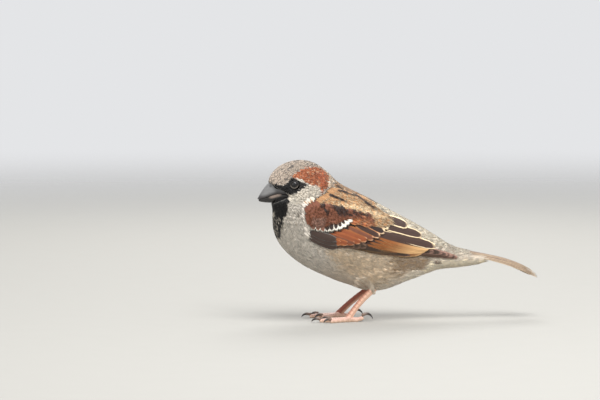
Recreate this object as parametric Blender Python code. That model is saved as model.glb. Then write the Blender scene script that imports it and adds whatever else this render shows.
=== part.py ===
"""Male house sparrow, life size, standing on both feet with its wings folded.

Run with: blender --background --python part.py
Lengths below are in millimetres and are scaled to metres when a mesh is made.
The bird faces -X, its left side is -Y, +Z is up, and its soles stand on z = 0.
"""

import math

import bmesh
import bpy
import numpy as np
from mathutils import Matrix, Vector
from mathutils.bvhtree import BVHTree

MM = 0.001
GAP = 0.3  # clearance between neighbouring pieces
AHEAD, BEHIND = -1, 1  # the side of a cut that is kept
BELOW, ABOVE = -1, 1
SIDES = {"L": -1.0, "R": 1.0}

# Ribs of the body, from the face to the root of the tail. Each one spans from a
# point on the back line to a point on the belly line:
# (back x, back z, belly x, belly z, half width above, half width below)
RIBS = (
    (-69.0, 74.2, -67.6, 62.2, 3.3, 3.9),
    (-67.0, 78.0, -66.9, 60.0, 5.6, 5.4),
    (-62.2, 82.2, -66.5, 57.4, 7.7, 7.7),
    (-54.0, 84.9, -66.7, 52.4, 9.0, 10.2),
    (-45.8, 84.0, -66.3, 47.6, 9.5, 13.2),
    (-38.6, 79.7, -64.3, 42.2, 10.6, 15.9),
    (-31.4, 72.7, -60.1, 36.6, 13.6, 18.0),
    (-23.3, 68.4, -52.1, 29.8, 17.4, 19.5),
    (-14.0, 63.7, -40.5, 23.8, 19.6, 20.2),
    (-2.5, 57.3, -26.0, 18.2, 18.8, 19.6),
    (9.5, 51.0, -11.0, 15.3, 15.4, 17.4),
    (20.0, 44.6, 4.5, 20.6, 11.4, 13.8),
    (29.0, 38.9, 19.0, 25.4, 8.6, 10.4),
    (38.3, 36.2, 33.5, 26.9, 7.0, 7.9),
    (48.0, 34.2, 47.5, 28.8, 6.2, 6.2),
)
RIB_STEPS = 3  # rings between two ribs
BODY_SEGMENTS = 24
BALL_SEGMENTS = (12, 8)  # around and from pole to pole
CROWN_FULLNESS = 0.86  # under 1, the sections are fuller than an ellipse

# The cuts that part the body: a point on the back line and one on the belly line
HEAD_CUT = ((-33.8, 74.8), (-68.0, 57.5))
NECK_CUT = ((-23.8, 68.6), (-67.5, 45.0))
RUMP_CUT = ((9.0, 52.0), (0.0, 15.0))
TAIL_CUT = ((46.0, 39.0), (46.0, 24.0))

BILL_TIP = (-74.7, 63.9)
BILL_TIP_HALF_SIZE = (0.4, 0.6)  # half width and half height of the blunt tip
BILL_BASE_X = -61.5  # the bill runs this far back into its socket
BILL_HALF_WIDTH = 4.7
CULMEN_RISE = 10.9  # from the tip to the base, along the upper edge
MOUTH_RISE = 4.9
GONYS_DROP = 1.7
# How soon each line turns: over 1 for the rises, the higher the sooner
CULMEN_CURVE = 2.4
GONYS_CURVE = 5.0
MOUTH_CURVE = 1.2
BILL_FLARE = 0.6  # under 1, the bill widens soonest near its tip
BILL_FULLNESS = 0.85  # under 1, its sections are fuller than a half oval
BILL_RINGS = 11
BILL_RING_PACKING = 1.3  # over 1, the rings stand closer at the tip
BILL_AROUND = 10

EYE_AT = (-56.15, 71.9)
EYE_RADIUS = 3.1
EYE_DEPTH = 2.5  # of its centre under the side of the head

# Lower and upper edge of the folded wing, from the shoulder to the tip (x, z)
WING_LOWER = ((-50.4, 55.0), (-47.2, 44.4), (-38.0, 38.9), (-16.0, 35.9), (10.0, 33.2), (32.0, 31.6))
WING_UPPER = ((-50.9, 59.0), (-42.4, 65.2), (-25.5, 64.3), (-3.0, 53.6), (16.5, 42.4), (32.3, 32.9))
WING_STANDS_PROUD = 1.5
WING_SINKS_IN = 0.7
WING_EDGE = 0.35
WING_CROWN = 0.5  # under 1, the wing is fuller towards its edges
WING_STEPS = (18, 6)
WING_RECESS_REACH = 4.0  # how far the wing's cutter stands out of the body
# The wing's own parts: coverts in front of the first cut, tertials above the second
COVERT_CUT = ((-12.0, 61.0), (-22.0, 33.0))
PRIMARY_CUT = ((-20.0, 39.2), (31.0, 34.6))

TAIL_TOP = ((46.0, 34.5), (56.0, 32.2), (66.0, 28.6), (74.7, 24.3))
TAIL_THICKNESS = (4.6, 3.0, 1.7, 0.9)
TAIL_HALF_WIDTH = (5.6, 7.4, 9.0, 9.9)
TAIL_ARCH = 1.9  # how far the outer feathers lie below the middle ones
TAIL_NOTCH = 1.8
TAIL_RIM = 0.35  # its thickness at the sides, as a share of that in the middle
TAIL_STEPS = (11, 9)

# The right leg stands more slanted than the left one
FOOT_CENTRES = {"L": (-28.4, 11.6, 1.78), "R": (-29.8, 11.6, 1.78)}
FOOT_BALL = 1.9
HEELS = {"L": (-15.2, 9.6, 16.4), "R": (-13.3, 9.6, 15.4)}
TARSUS_RADIUS = 1.36
TARSUS_SWELL = (0.3, 0.15)  # how much it thickens at the heel and at the foot
TARSUS_BOW = 0.5
TARSUS_STEPS = (9, 10)
HEEL_GAP_START = -0.25  # the heel's clearance starts this share of the shank above it
THIGH_TOPS = {"L": (-19.2, 9.8, 27.2), "R": (-18.4, 9.8, 26.5)}
THIGH_END_RISE = 0.9  # of the thigh's end over the heel
THIGH_RADII = (5.2, 2.2)
THIGH_STEPS = (7, 14)

# Toes: (heading in degrees outwards from straight ahead, length, claw length)
HIND_TOE = 1
TOES = {
    HIND_TOE: (184.0, 8.0, 5.0),
    2: (-22.0, 10.4, 3.8),
    3: (2.0, 15.2, 4.1),
    4: (25.0, 11.4, 3.8),
}
TOE_RADII = (1.36, 0.98)
TOE_SEGMENTS = 8
TOE_PAD_SWELL = 0.14
TOE_PRESS = 0.16  # how much of each toe is flattened by the floor
HIND_TOE_LIFT = 1.5  # of its last joint, over the floor
HIND_TOE_BEND = 6  # the higher, the nearer its end it turns up
CLAW_RADII = (0.86, 0.3)
CLAW_STEPS = (7, 6)
CLAW_SWEEP = 1.35  # the angle that a claw turns through, in radians
CLAW_REACH = 0.92  # its straight reach as a share of its length
# How high a claw arches and how high its point ends over the floor: (front toes, hind toe)
CLAW_ARCH = (0.75, 1.5)
CLAW_END_HEIGHT = (0.42, 1.3)


# Points and curves


def smooth_path(points, steps):
    """Catmull-Rom through the rows of points, with steps rows for each span."""
    rows = np.array(points, float)
    first = 2 * rows[0] - rows[1]
    last = 2 * rows[-1] - rows[-2]
    ends = np.vstack([first, rows, last])
    found = []
    for i in range(len(rows) - 1):
        a, b, c, d = ends[i : i + 4]
        for t in np.arange(steps) / steps:
            bend = (2 * a - 5 * b + 4 * c - d) * t**2
            twist = (3 * b - 3 * c + d - a) * t**3
            found.append(0.5 * (2 * b + (c - a) * t + bend + twist))
    found.append(rows[-1])
    return np.array(found)


def along(points, shares):
    """Rows of a smooth path at these shares of its own count, from 0 to 1."""
    fine = smooth_path(points, 24)
    at = np.asarray(shares) * (len(fine) - 1)
    index = np.arange(len(fine))
    return np.stack([np.interp(at, index, fine[:, k]) for k in range(fine.shape[1])], 1)


def ease(t):
    return t * t * (3 - 2 * t)


# Objects


def clear_scene():
    for obj in list(bpy.data.objects):
        bpy.data.objects.remove(obj)


def make_collection(name):
    collection = bpy.data.collections.new(name)
    bpy.context.scene.collection.children.link(collection)
    return collection


def make_material(name, colour, roughness):
    material = bpy.data.materials.new(name)
    material.use_nodes = True
    shader = material.node_tree.nodes["Principled BSDF"]
    shader.inputs["Base Color"].default_value = (*colour, 1.0)
    shader.inputs["Roughness"].default_value = roughness
    shader.inputs["Metallic"].default_value = 0.0
    return material


def mesh_object(name, bm, collection, material=None):
    """Makes an object in metres of a bmesh in millimetres."""
    bmesh.ops.recalc_face_normals(bm, faces=bm.faces)
    mesh = bpy.data.meshes.new(name)
    bm.to_mesh(mesh)
    bm.free()
    mesh.transform(Matrix.Scale(MM, 4))
    mesh.shade_smooth()
    mesh.set_sharp_from_angle(angle=math.radians(50))
    obj = bpy.data.objects.new(name, mesh)
    collection.objects.link(obj)
    if material is not None:
        mesh.materials.append(material)
    return obj


def make_cutter(name, bm, collection):
    obj = mesh_object(name, bm, collection)
    obj.hide_render = True
    obj.display_type = "WIRE"
    return obj


def cut(obj, cutter, operation="DIFFERENCE"):
    modifier = obj.modifiers.new(cutter.name, "BOOLEAN")
    modifier.operation = operation
    modifier.solver = "EXACT"
    modifier.object = cutter


def loft(rings):
    """A closed body through rings of points, with a flat cap at each end."""
    bm = bmesh.new()
    rows = [[bm.verts.new(Vector(p)) for p in ring] for ring in rings]
    around = len(rows[0])
    for lower, upper in zip(rows, rows[1:]):
        for k in range(around):
            nxt = (k + 1) % around
            bm.faces.new((lower[k], lower[nxt], upper[nxt], upper[k]))
    bm.faces.new(rows[0])
    bm.faces.new(rows[-1])
    return bm


def tube(centres, radii, segments):
    """A loft of circles about a path."""
    centres = np.array(centres, float)
    tangents = np.gradient(centres, axis=0)
    rings = []
    for centre, tangent, radius in zip(centres, tangents, radii):
        tangent = tangent / np.linalg.norm(tangent)
        side = np.cross(tangent, (0, 0, 1))
        side /= np.linalg.norm(side)
        above = np.cross(side, tangent)
        turns = 2 * math.pi * (np.arange(segments) + 0.5) / segments
        rings.append(centre + radius * (np.outer(np.cos(turns), side) + np.outer(np.sin(turns), above)))
    return loft(rings)


def half_space(bm, line, side):
    """Keeps what is ahead of the line or behind it, less half the gap, and caps it."""
    (ax, az), (bx, bz) = line
    normal = Vector((az - bz, 0, bx - ax)).normalized() * side
    point = Vector((ax, 0, az)) + normal * GAP / 2
    geometry = bm.verts[:] + bm.edges[:] + bm.faces[:]
    bmesh.ops.bisect_plane(bm, geom=geometry, plane_co=point, plane_no=normal, clear_inner=True)
    edges = [e for e in bm.edges if e.is_boundary]
    bmesh.ops.holes_fill(bm, edges=edges, sides=0)
    return bm


def floor_block():
    """Everything under the floor, near the feet."""
    bm = bmesh.new()
    bmesh.ops.create_cube(bm, size=1.0)
    bmesh.ops.scale(bm, verts=bm.verts, vec=(90, 60, 6))
    bmesh.ops.translate(bm, verts=bm.verts, vec=(-32, 0, -3))
    return bm


# The body


def rib_ring(row, segments):
    """One closed section of the body, wider above or below as its rib says."""
    back_x, back_z, belly_x, belly_z, above, below = row
    turns = 2 * math.pi * np.arange(segments) / segments
    down = (1 - np.cos(turns)) / 2
    width = above + (below - above) * ease(down)
    bulge = np.sign(np.sin(turns)) * np.abs(np.sin(turns)) ** CROWN_FULLNESS
    x = back_x + (belly_x - back_x) * down
    z = back_z + (belly_z - back_z) * down
    return np.stack([x, width * bulge, z], 1)


def body_mesh():
    rings = [rib_ring(row, BODY_SEGMENTS) for row in smooth_path(RIBS, RIB_STEPS)]
    return loft(rings)


def make_body(parts, material):
    """The body modelled whole, then parted into head, neck, trunk and rump."""
    cuts = {
        "head": (None, HEAD_CUT),
        "neck": (HEAD_CUT, NECK_CUT),
        "trunk": (NECK_CUT, RUMP_CUT),
        "rump": (RUMP_CUT, TAIL_CUT),
    }
    body = {}
    for name, (front, back) in cuts.items():
        bm = half_space(body_mesh(), back, AHEAD)
        if front is not None:
            half_space(bm, front, BEHIND)
        body[name] = mesh_object(name, bm, parts, material[name])
    return body


# The head's pieces


def bill_half(upper, grow=0.0):
    """One mandible: half-oval sections from its tip to its socket."""
    tip_x, tip_z = BILL_TIP
    tip_wide, tip_high = BILL_TIP_HALF_SIZE
    turns = np.linspace(0, math.pi, BILL_AROUND)
    rings = []
    for share in np.linspace(0, 1, BILL_RINGS) ** BILL_RING_PACKING:
        x = tip_x + (BILL_BASE_X - tip_x) * share - grow
        wide = tip_wide + (BILL_HALF_WIDTH - tip_wide) * share**BILL_FLARE + grow
        mouth = tip_z + MOUTH_RISE * share**MOUTH_CURVE
        if upper:
            base = mouth + GAP / 2
            edge = tip_z + tip_high + CULMEN_RISE * (1 - (1 - share) ** CULMEN_CURVE)
        else:
            base = mouth - GAP / 2
            edge = tip_z - tip_high - (GONYS_DROP - tip_high) * (1 - (1 - share) ** GONYS_CURVE)
        out = math.copysign(grow, edge - base)
        base -= out
        height = (edge + out - base) * np.sin(turns) ** BILL_FULLNESS
        rings.append(np.stack([np.full(BILL_AROUND, x), wide * np.cos(turns), base + height], 1))
    if grow:
        rings.append(rings[-1] + np.array([2 * grow, 0, 0]))
    return loft(rings)


def ball(centre, radius):
    bm = bmesh.new()
    around, rings = BALL_SEGMENTS
    bmesh.ops.create_uvsphere(bm, u_segments=around, v_segments=rings, radius=radius)
    bmesh.ops.translate(bm, verts=bm.verts, vec=Vector(centre))
    return bm


def make_bill_and_eyes(parts, cutters, head, tree, material):
    for name, upper in (("bill_upper", True), ("bill_lower", False)):
        mesh_object(name, bill_half(upper), parts, material["bill"])
        cut(head, make_cutter(name + "_socket", bill_half(upper, GAP), cutters))
    x, z = EYE_AT
    y = side_of_body(tree, x, z) - EYE_DEPTH
    for side, sign in SIDES.items():
        centre = (x, sign * y, z)
        mesh_object(f"eye_{side}", ball(centre, EYE_RADIUS), parts, material["eye"])
        cut(head, make_cutter(f"eye_socket_{side}", ball(centre, EYE_RADIUS + GAP), cutters))


# The wings


def side_of_body(tree, x, z):
    """Half width of the whole body at a point of its side view."""
    hit, _, _, _ = tree.ray_cast(Vector((x, 60, z)), Vector((0, -1, 0)))
    return hit.y if hit is not None else 0.0


def wing_shell(tree, sign, grow=0.0):
    """The folded wing as a shell that lies on the body's side and sinks a little into it."""
    long_steps, cross_steps = WING_STEPS
    shares = np.linspace(0, 1, long_steps)
    lower, upper = along(WING_LOWER, shares), along(WING_UPPER, shares)
    rings = []
    for i in range(long_steps):
        across = upper[i] - lower[i]
        across_unit = across / np.linalg.norm(across)
        outer, inner = [], []
        for v in np.linspace(0, 1, cross_steps):
            x, z = lower[i] + across * v + across_unit * grow * (2 * v - 1)
            x += grow * (2 * shares[i] - 1)
            side = side_of_body(tree, x, z)
            proud = WING_EDGE + (WING_STANDS_PROUD - WING_EDGE) * math.sin(math.pi * v) ** WING_CROWN
            outer.append((x, sign * (side + (WING_RECESS_REACH if grow else proud)), z))
            inner.append((x, sign * (side - WING_SINKS_IN - grow), z))
        rings.append(outer + inner[::-1])
    return loft(rings)


def make_wings(parts, cutters, flesh, tree, material):
    for side, sign in SIDES.items():
        coverts = half_space(wing_shell(tree, sign), COVERT_CUT, AHEAD)
        quills = half_space(wing_shell(tree, sign), COVERT_CUT, BEHIND)
        tertials = half_space(quills.copy(), PRIMARY_CUT, ABOVE)
        primaries = half_space(quills, PRIMARY_CUT, BELOW)
        for name, bm in (("coverts", coverts), ("tertials", tertials), ("primaries", primaries)):
            mesh_object(f"wing_{name}_{side}", bm, parts, material[name])
        recess = make_cutter(f"wing_recess_{side}", wing_shell(tree, sign, GAP), cutters)
        for obj in flesh:
            cut(obj, recess)


# The tail


def make_tail(parts, material):
    """Twelve folded tail feathers as one arched blade with a shallow notch at its end."""
    long_steps, cross_steps = TAIL_STEPS
    shares = np.linspace(0, 1, long_steps)
    top = along(TAIL_TOP, shares)
    sizes = along(np.stack([TAIL_THICKNESS, TAIL_HALF_WIDTH], 1), shares)
    across = np.cos(np.linspace(0, math.pi, cross_steps))
    rings = []
    for (x, z), (thick, half), share in zip(top, sizes, shares):
        y = across * half
        x_here = x + GAP / 2 * (1 - share) - TAIL_NOTCH * share**6 * (1 - np.abs(across)) ** 1.5
        arch = TAIL_ARCH * share**0.5 * across**2
        swell = TAIL_RIM + (1 - TAIL_RIM) * np.sqrt(np.clip(1 - across**2, 0, 1))
        upper = np.stack([x_here, y, z - arch - thick * (1 - swell) / 2], 1)
        lower = np.stack([x_here, y, z - arch - thick * (1 + swell) / 2], 1)
        rings.append(np.vstack([upper, lower[::-1]]))
    mesh_object("tail", loft(rings), parts, material)


# Legs and feet


def on_side(places, side):
    """One of a pair of points that are written for the right side."""
    x, y, z = places[side]
    return np.array([x, SIDES[side] * y, z])


def toe_path(number, side):
    """Centre line and radii of a toe, from the ball of the foot to the claw's root."""
    heading, length, _ = TOES[number]
    angle = math.radians(heading)
    ahead = np.array([-math.cos(angle), SIDES[side] * math.sin(angle), 0.0])
    ball_centre = on_side(FOOT_CENTRES, side)
    pads = 2 if number == HIND_TOE else number
    shares = np.linspace(0, 1, 2 * pads + 3)
    centres, radii = [], []
    for share in shares:
        radius = TOE_RADII[0] + (TOE_RADII[1] - TOE_RADII[0]) * share
        radius *= 1 + TOE_PAD_SWELL * math.cos(2 * math.pi * pads * share)
        point = ball_centre + ahead * length * share
        point[2] = radius - TOE_PRESS
        if number == HIND_TOE:
            point[2] += HIND_TOE_LIFT * share**HIND_TOE_BEND
        centres.append(point)
        radii.append(radius)
    return centres, radii, ahead


def claw_path(number, side):
    """A claw arches up from its toe and comes down to a point over the floor."""
    centres, _, ahead = toe_path(number, side)
    reach = TOES[number][2] * CLAW_REACH / math.sin(CLAW_SWEEP)
    hind = number == HIND_TOE
    start = centres[-1] + ahead * GAP
    path = []
    for share in np.linspace(0, 1, CLAW_STEPS[0]):
        point = start + ahead * reach * math.sin(share * CLAW_SWEEP)
        level = start[2] * (1 - share) + CLAW_END_HEIGHT[hind] * share
        point[2] = level + CLAW_ARCH[hind] * math.sin(math.pi * share)
        path.append(point)
    return path


def make_foot(parts, cutters, side, material):
    ball_centre = on_side(FOOT_CENTRES, side)
    foot = mesh_object(f"foot_{side}", ball(ball_centre, FOOT_BALL), parts, material["leg"])
    for number in TOES:
        centres, radii, _ = toe_path(number, side)
        cut(foot, make_cutter(f"toe_{number}_{side}", tube(centres, radii, TOE_SEGMENTS), cutters), "UNION")
        path = claw_path(number, side)
        radii = np.linspace(*CLAW_RADII, len(path))
        mesh_object(f"claw_{number}_{side}", tube(path, radii, CLAW_STEPS[1]), parts, material["claw"])
    cut(foot, make_cutter(f"floor_{side}", floor_block(), cutters))


def make_leg(parts, cutters, trunk, side, material):
    heel, ankle = on_side(HEELS, side), on_side(FOOT_CENTRES, side)
    steps, around = TARSUS_STEPS
    shares = np.linspace(0, 1, steps)
    path = heel + np.outer(shares, ankle - heel)
    path += np.outer(np.sin(math.pi * shares), (-TARSUS_BOW, 0, TARSUS_BOW))
    at_heel, at_foot = TARSUS_SWELL
    radii = TARSUS_RADIUS * (1 + at_heel * (1 - shares) ** 6 + at_foot * shares**5)
    tarsus = mesh_object(f"tarsus_{side}", tube(path, radii, around), parts, material["leg"])
    cut(tarsus, make_cutter(f"ankle_gap_{side}", ball(ankle, FOOT_BALL + GAP), cutters))
    toe, toe_radii, _ = toe_path(HIND_TOE, side)
    toe_gap = tube(toe, np.array(toe_radii) + GAP, TOE_SEGMENTS)
    cut(tarsus, make_cutter(f"hind_toe_gap_{side}", toe_gap, cutters))

    top = on_side(THIGH_TOPS, side)
    steps, around = THIGH_STEPS
    shares = np.linspace(0, 1, steps)
    end = heel + np.array([0, 0, THIGH_END_RISE])
    path = top + np.outer(shares, end - top)
    radii = THIGH_RADII[0] + (THIGH_RADII[1] - THIGH_RADII[0]) * ease(shares)
    thigh = mesh_object(f"thigh_{side}", tube(path, radii, around), parts, material["thigh"])
    shank = heel + np.outer((HEEL_GAP_START, 1), ankle - heel)
    heel_radius = TARSUS_RADIUS * (1 + at_heel) + GAP
    cut(thigh, make_cutter(f"heel_gap_{side}", tube(shank, (heel_radius, heel_radius), around), cutters))
    cut(trunk, make_cutter(f"thigh_socket_{side}", tube(path, radii + GAP, around), cutters))


def main():
    clear_scene()
    parts = make_collection("house_sparrow")
    cutters = make_collection("cutters")
    material = {
        "head": make_material("head_feathers", (0.36, 0.32, 0.28), 0.8),
        "neck": make_material("neck_feathers", (0.52, 0.49, 0.44), 0.8),
        "trunk": make_material("body_feathers", (0.55, 0.51, 0.45), 0.8),
        "rump": make_material("rump_feathers", (0.50, 0.46, 0.40), 0.8),
        "thigh": make_material("thigh_feathers", (0.48, 0.44, 0.39), 0.8),
        "coverts": make_material("covert_feathers", (0.30, 0.11, 0.05), 0.7),
        "tertials": make_material("tertial_feathers", (0.42, 0.24, 0.11), 0.7),
        "primaries": make_material("primary_feathers", (0.12, 0.08, 0.06), 0.7),
        "tail": make_material("tail_feathers", (0.33, 0.26, 0.21), 0.7),
        "bill": make_material("bill_horn", (0.09, 0.09, 0.10), 0.35),
        "eye": make_material("eye_dark", (0.01, 0.008, 0.007), 0.05),
        "leg": make_material("leg_skin", (0.52, 0.28, 0.22), 0.5),
        "claw": make_material("claw_horn", (0.05, 0.04, 0.035), 0.4),
    }
    whole = body_mesh()
    tree = BVHTree.FromBMesh(whole)
    whole.free()

    body = make_body(parts, material)
    make_bill_and_eyes(parts, cutters, body["head"], tree, material)
    make_wings(parts, cutters, (body["neck"], body["trunk"], body["rump"]), tree, material)
    make_tail(parts, material["tail"])
    for side in SIDES:
        make_leg(parts, cutters, body["trunk"], side, material)
        make_foot(parts, cutters, side, material)


main()
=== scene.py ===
import math

import bpy
import numpy as np
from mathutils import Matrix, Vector
from mathutils.bvhtree import BVHTree


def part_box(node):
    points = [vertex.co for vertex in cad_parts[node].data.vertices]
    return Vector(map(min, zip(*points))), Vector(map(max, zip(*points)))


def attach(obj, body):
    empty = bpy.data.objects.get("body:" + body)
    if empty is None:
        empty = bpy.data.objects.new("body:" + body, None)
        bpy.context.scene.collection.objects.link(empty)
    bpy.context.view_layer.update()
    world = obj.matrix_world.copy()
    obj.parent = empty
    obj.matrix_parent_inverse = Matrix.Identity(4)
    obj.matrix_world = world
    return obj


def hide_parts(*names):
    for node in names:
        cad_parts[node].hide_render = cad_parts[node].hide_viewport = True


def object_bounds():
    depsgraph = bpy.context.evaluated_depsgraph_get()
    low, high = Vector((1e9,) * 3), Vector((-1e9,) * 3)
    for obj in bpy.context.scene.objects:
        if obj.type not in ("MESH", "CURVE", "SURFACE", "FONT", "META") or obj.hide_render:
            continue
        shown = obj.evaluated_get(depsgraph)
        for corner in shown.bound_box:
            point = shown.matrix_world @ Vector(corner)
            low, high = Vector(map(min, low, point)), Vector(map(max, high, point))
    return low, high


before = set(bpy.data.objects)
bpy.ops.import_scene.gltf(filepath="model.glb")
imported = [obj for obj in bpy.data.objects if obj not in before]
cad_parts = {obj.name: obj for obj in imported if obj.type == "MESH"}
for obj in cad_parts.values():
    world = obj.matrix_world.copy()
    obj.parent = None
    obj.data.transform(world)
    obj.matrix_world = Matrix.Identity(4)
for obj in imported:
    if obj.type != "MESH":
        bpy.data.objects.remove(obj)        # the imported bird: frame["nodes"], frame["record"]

# A cock house sparrow at life size. Lengths are millimetres until a mesh is made.
# It faces -X, its left side is -Y, and it stands on z = 0.

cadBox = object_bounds()
mm = 0.001
dice = np.random.default_rng(1758)
sideSign = {"L": -1.0, "R": 1.0}


def boxOf(*nodes):
    corners = [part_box(node) for node in nodes]
    low = np.min([np.array(c[0]) for c in corners], 0) / mm
    high = np.max([np.array(c[1]) for c in corners], 0) / mm
    return low, high


def middleOf(node):
    low, high = boxOf(node)
    return (low + high) / 2


eyeAt = middleOf("eye_L")[[0, 2]]
faceAt = eyeAt + (-0.25, 0.6)           # the head's markings are placed from here
eyeRadius = (boxOf("eye_L")[1] - boxOf("eye_L")[0])[2] / 2
wingAt = np.array([boxOf("wing_coverts_L")[0][0], boxOf("wing_primaries_L")[0][2]])
tailAt = boxOf("tail")[0][[0, 2]]


def paint(red, green, blue):            # screen colour to the linear one that shaders use
    c = np.array([red, green, blue], float) / 255
    return np.where(c > 0.04045, ((c + 0.055) / 1.055) ** 2.4, c / 12.92)


def fullTurn(count):
    return 2 * math.pi * np.arange(count) / count


def poleToPole(short, count):           # angles from a ball's axis, a little short of both poles
    return np.linspace(short, math.pi - short, count)[:, None]


def smooth(low, high, value):
    t = np.clip((value - low) / (high - low), 0, 1)
    return t * t * (3 - 2 * t)


def spline(points, count):              # Catmull-Rom through the rows, read at even steps
    rows = np.array(points, float)
    ends = np.vstack([2 * rows[0] - rows[1], rows, 2 * rows[-1] - rows[-2]])
    at = np.linspace(0, len(rows) - 1, count) if np.isscalar(count) else np.asarray(count)
    i = np.clip(at.astype(int), 0, len(rows) - 2)
    t = (at - i)[:, None]
    a, b, c, d = (ends[i + k] for k in range(4))
    curve = 2 * b + (c - a) * t + (2 * a - 5 * b + 4 * c - d) * t**2
    return 0.5 * (curve + (3 * b - 3 * c + d - a) * t**3)


def placed(name, data):                 # a new object in the scene
    obj = bpy.data.objects.new(name, data)
    bpy.context.scene.collection.objects.link(obj)
    return obj


class Value:                            # a socket that can be added, multiplied and so on
    def __init__(self, finish, socket):
        self.finish = finish
        self.socket = socket

    def reckon(self, operation, a, b):
        return self.finish.node("ShaderNodeMath", {"operation": operation}, {0: a, 1: b})

    def __add__(self, other):
        return self.reckon("ADD", self, other)

    def __radd__(self, other):
        return self.reckon("ADD", other, self)

    def __sub__(self, other):
        return self.reckon("SUBTRACT", self, other)

    def __rsub__(self, other):
        return self.reckon("SUBTRACT", other, self)

    def __mul__(self, other):
        return self.reckon("MULTIPLY", self, other)

    def __rmul__(self, other):
        return self.reckon("MULTIPLY", other, self)

    def __pow__(self, other):
        return self.reckon("POWER", self, other)

    def __abs__(self):
        return self.reckon("ABSOLUTE", self, 0.0)

    def wave(self):
        return self.reckon("SINE", self, 0.0)

    def step(self, low, high):          # 0 under low, 1 over high, soft between
        inputs = {"Value": self, "From Min": low, "From Max": high}
        return self.finish.node("ShaderNodeMapRange", {"interpolation_type": "SMOOTHSTEP"}, inputs)


class Finish:                           # one material, written node by node
    def __init__(self, name, **even):
        self.material = bpy.data.materials.new(name)
        self.material.use_nodes = True
        self.tree = self.material.node_tree
        self.shader = self.tree.nodes["Principled BSDF"]
        for key, value in even.items():
            self.shader.inputs[key].default_value = value

    def node(self, kind, settings=None, inputs=None, out=0):
        made = self.tree.nodes.new(kind)
        for key, value in (settings or {}).items():
            setattr(made, key, value)
        for key, value in (inputs or {}).items():
            self.put(made.inputs[key], value)
        return Value(self, made.outputs[out])

    def put(self, socket, value):
        if isinstance(value, Value):
            self.tree.links.new(value.socket, socket)
        elif value is not None:
            socket.default_value = (*value, 1) if socket.type == "RGBA" else value

    def mix(self, share, a, b):
        return self.node("ShaderNodeMix", {"data_type": "RGBA"}, {0: share, 6: a, 7: b}, 2)

    def lighten(self, colour, share):   # share over 1 lightens, under 1 darkens
        return self.node("ShaderNodeHueSaturation", {}, {"Color": colour, "Value": share})

    def noise(self, scale, detail, vector):                 # swings about 0
        inputs = {"Scale": scale, "Detail": detail, "Vector": vector}
        return self.node("ShaderNodeTexNoise", {}, inputs) - 0.5

    def place(self):                    # where a point lies on the bird, in metres
        return self.node("ShaderNodeTexCoord", {}, {}, 3)

    def part(self, vector, k):
        return self.node("ShaderNodeSeparateXYZ", {}, {0: vector}, k)

    def stretch(self, vector, x, y, z):
        settings = {"operation": "MULTIPLY"}
        return self.node("ShaderNodeVectorMath", settings, {0: vector, 1: Vector((x, y, z))})

    def named(self, attribute, out=0):
        return self.node("ShaderNodeAttribute", {"attribute_name": attribute}, {}, out)

    def finish(self, colour, roughness, height, strength, distance):
        self.put(self.shader.inputs["Base Color"], colour)
        self.put(self.shader.inputs["Roughness"], roughness)
        inputs = {"Strength": strength, "Distance": distance, "Height": height}
        self.put(self.shader.inputs["Normal"], self.node("ShaderNodeBump", {}, inputs))
        return self.material


def featherFinish(name, look):
    # a vane: downy base, web, margin at its sides, tip, shaft, strands and slanting barbs
    f = Finish(name, **{"Sheen Weight": look["sheen"], "Sheen Roughness": 0.5, "IOR": 1.4})
    vane = f.node("ShaderNodeUVMap", {"uv_map": "vane"})
    across, along = f.part(vane, 0) - 0.5, f.part(vane, 1)
    web = abs(across) * 2
    pattern = f.named("pattern", 1)
    edgeAt, tipAt, chance = (f.part(pattern, k) for k in range(3))
    barbs = (along * look["barbs"] - web * look["slant"] + chance * 40).wave()
    ragged = f.noise(look["ragged"], 2.0, f.place())
    mottle = f.noise(look["mottleSize"], 1.0, f.stretch(f.place(), 0.6, 1.0, 1.0))
    lines = f.node("ShaderNodeCombineXYZ", {}, {0: across * look["strands"] + chance * 60, 1: along * 1.5})
    strand = f.noise(1.0, 2.0, lines)
    margin = (web - edgeAt + ragged * 0.15 + strand * look["streaky"]).step(-0.07, 0.07)
    rim = web ** look["rim"] * look["point"]
    tip = (along - tipAt + rim + ragged * 0.15 + strand * look["streaky"]).step(-0.06, 0.06)
    # The downy base takes the down paint: its own darker grey, and painted shade at the root under the
    # overlapping feathers
    base = 1 - (along + ragged * 0.2).step(look["base"] - 0.12, look["base"] + 0.12)
    colour = f.mix(margin, f.named("web"), f.named("margin"))
    colour = f.mix(tip, colour, f.named("tip"))
    colour = f.mix(base, colour, f.named("down"))
    shaft = 1 - web.step(look["shaft"] * 0.4, look["shaft"])
    tone = 1 + barbs * look["contrast"] + (chance - 0.5) * look["spread"] + ragged * 0.2
    tone = tone + mottle * look["mottle"] + strand * look["strand"] - shaft * look["shaftDark"]
    colour = f.lighten(colour, tone)
    height = barbs * 0.4 + shaft * look["shaftHigh"] + strand * 1.2
    return f.finish(colour, look["roughness"] + barbs * 0.06, height, look["bump"], 0.00006)


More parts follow.
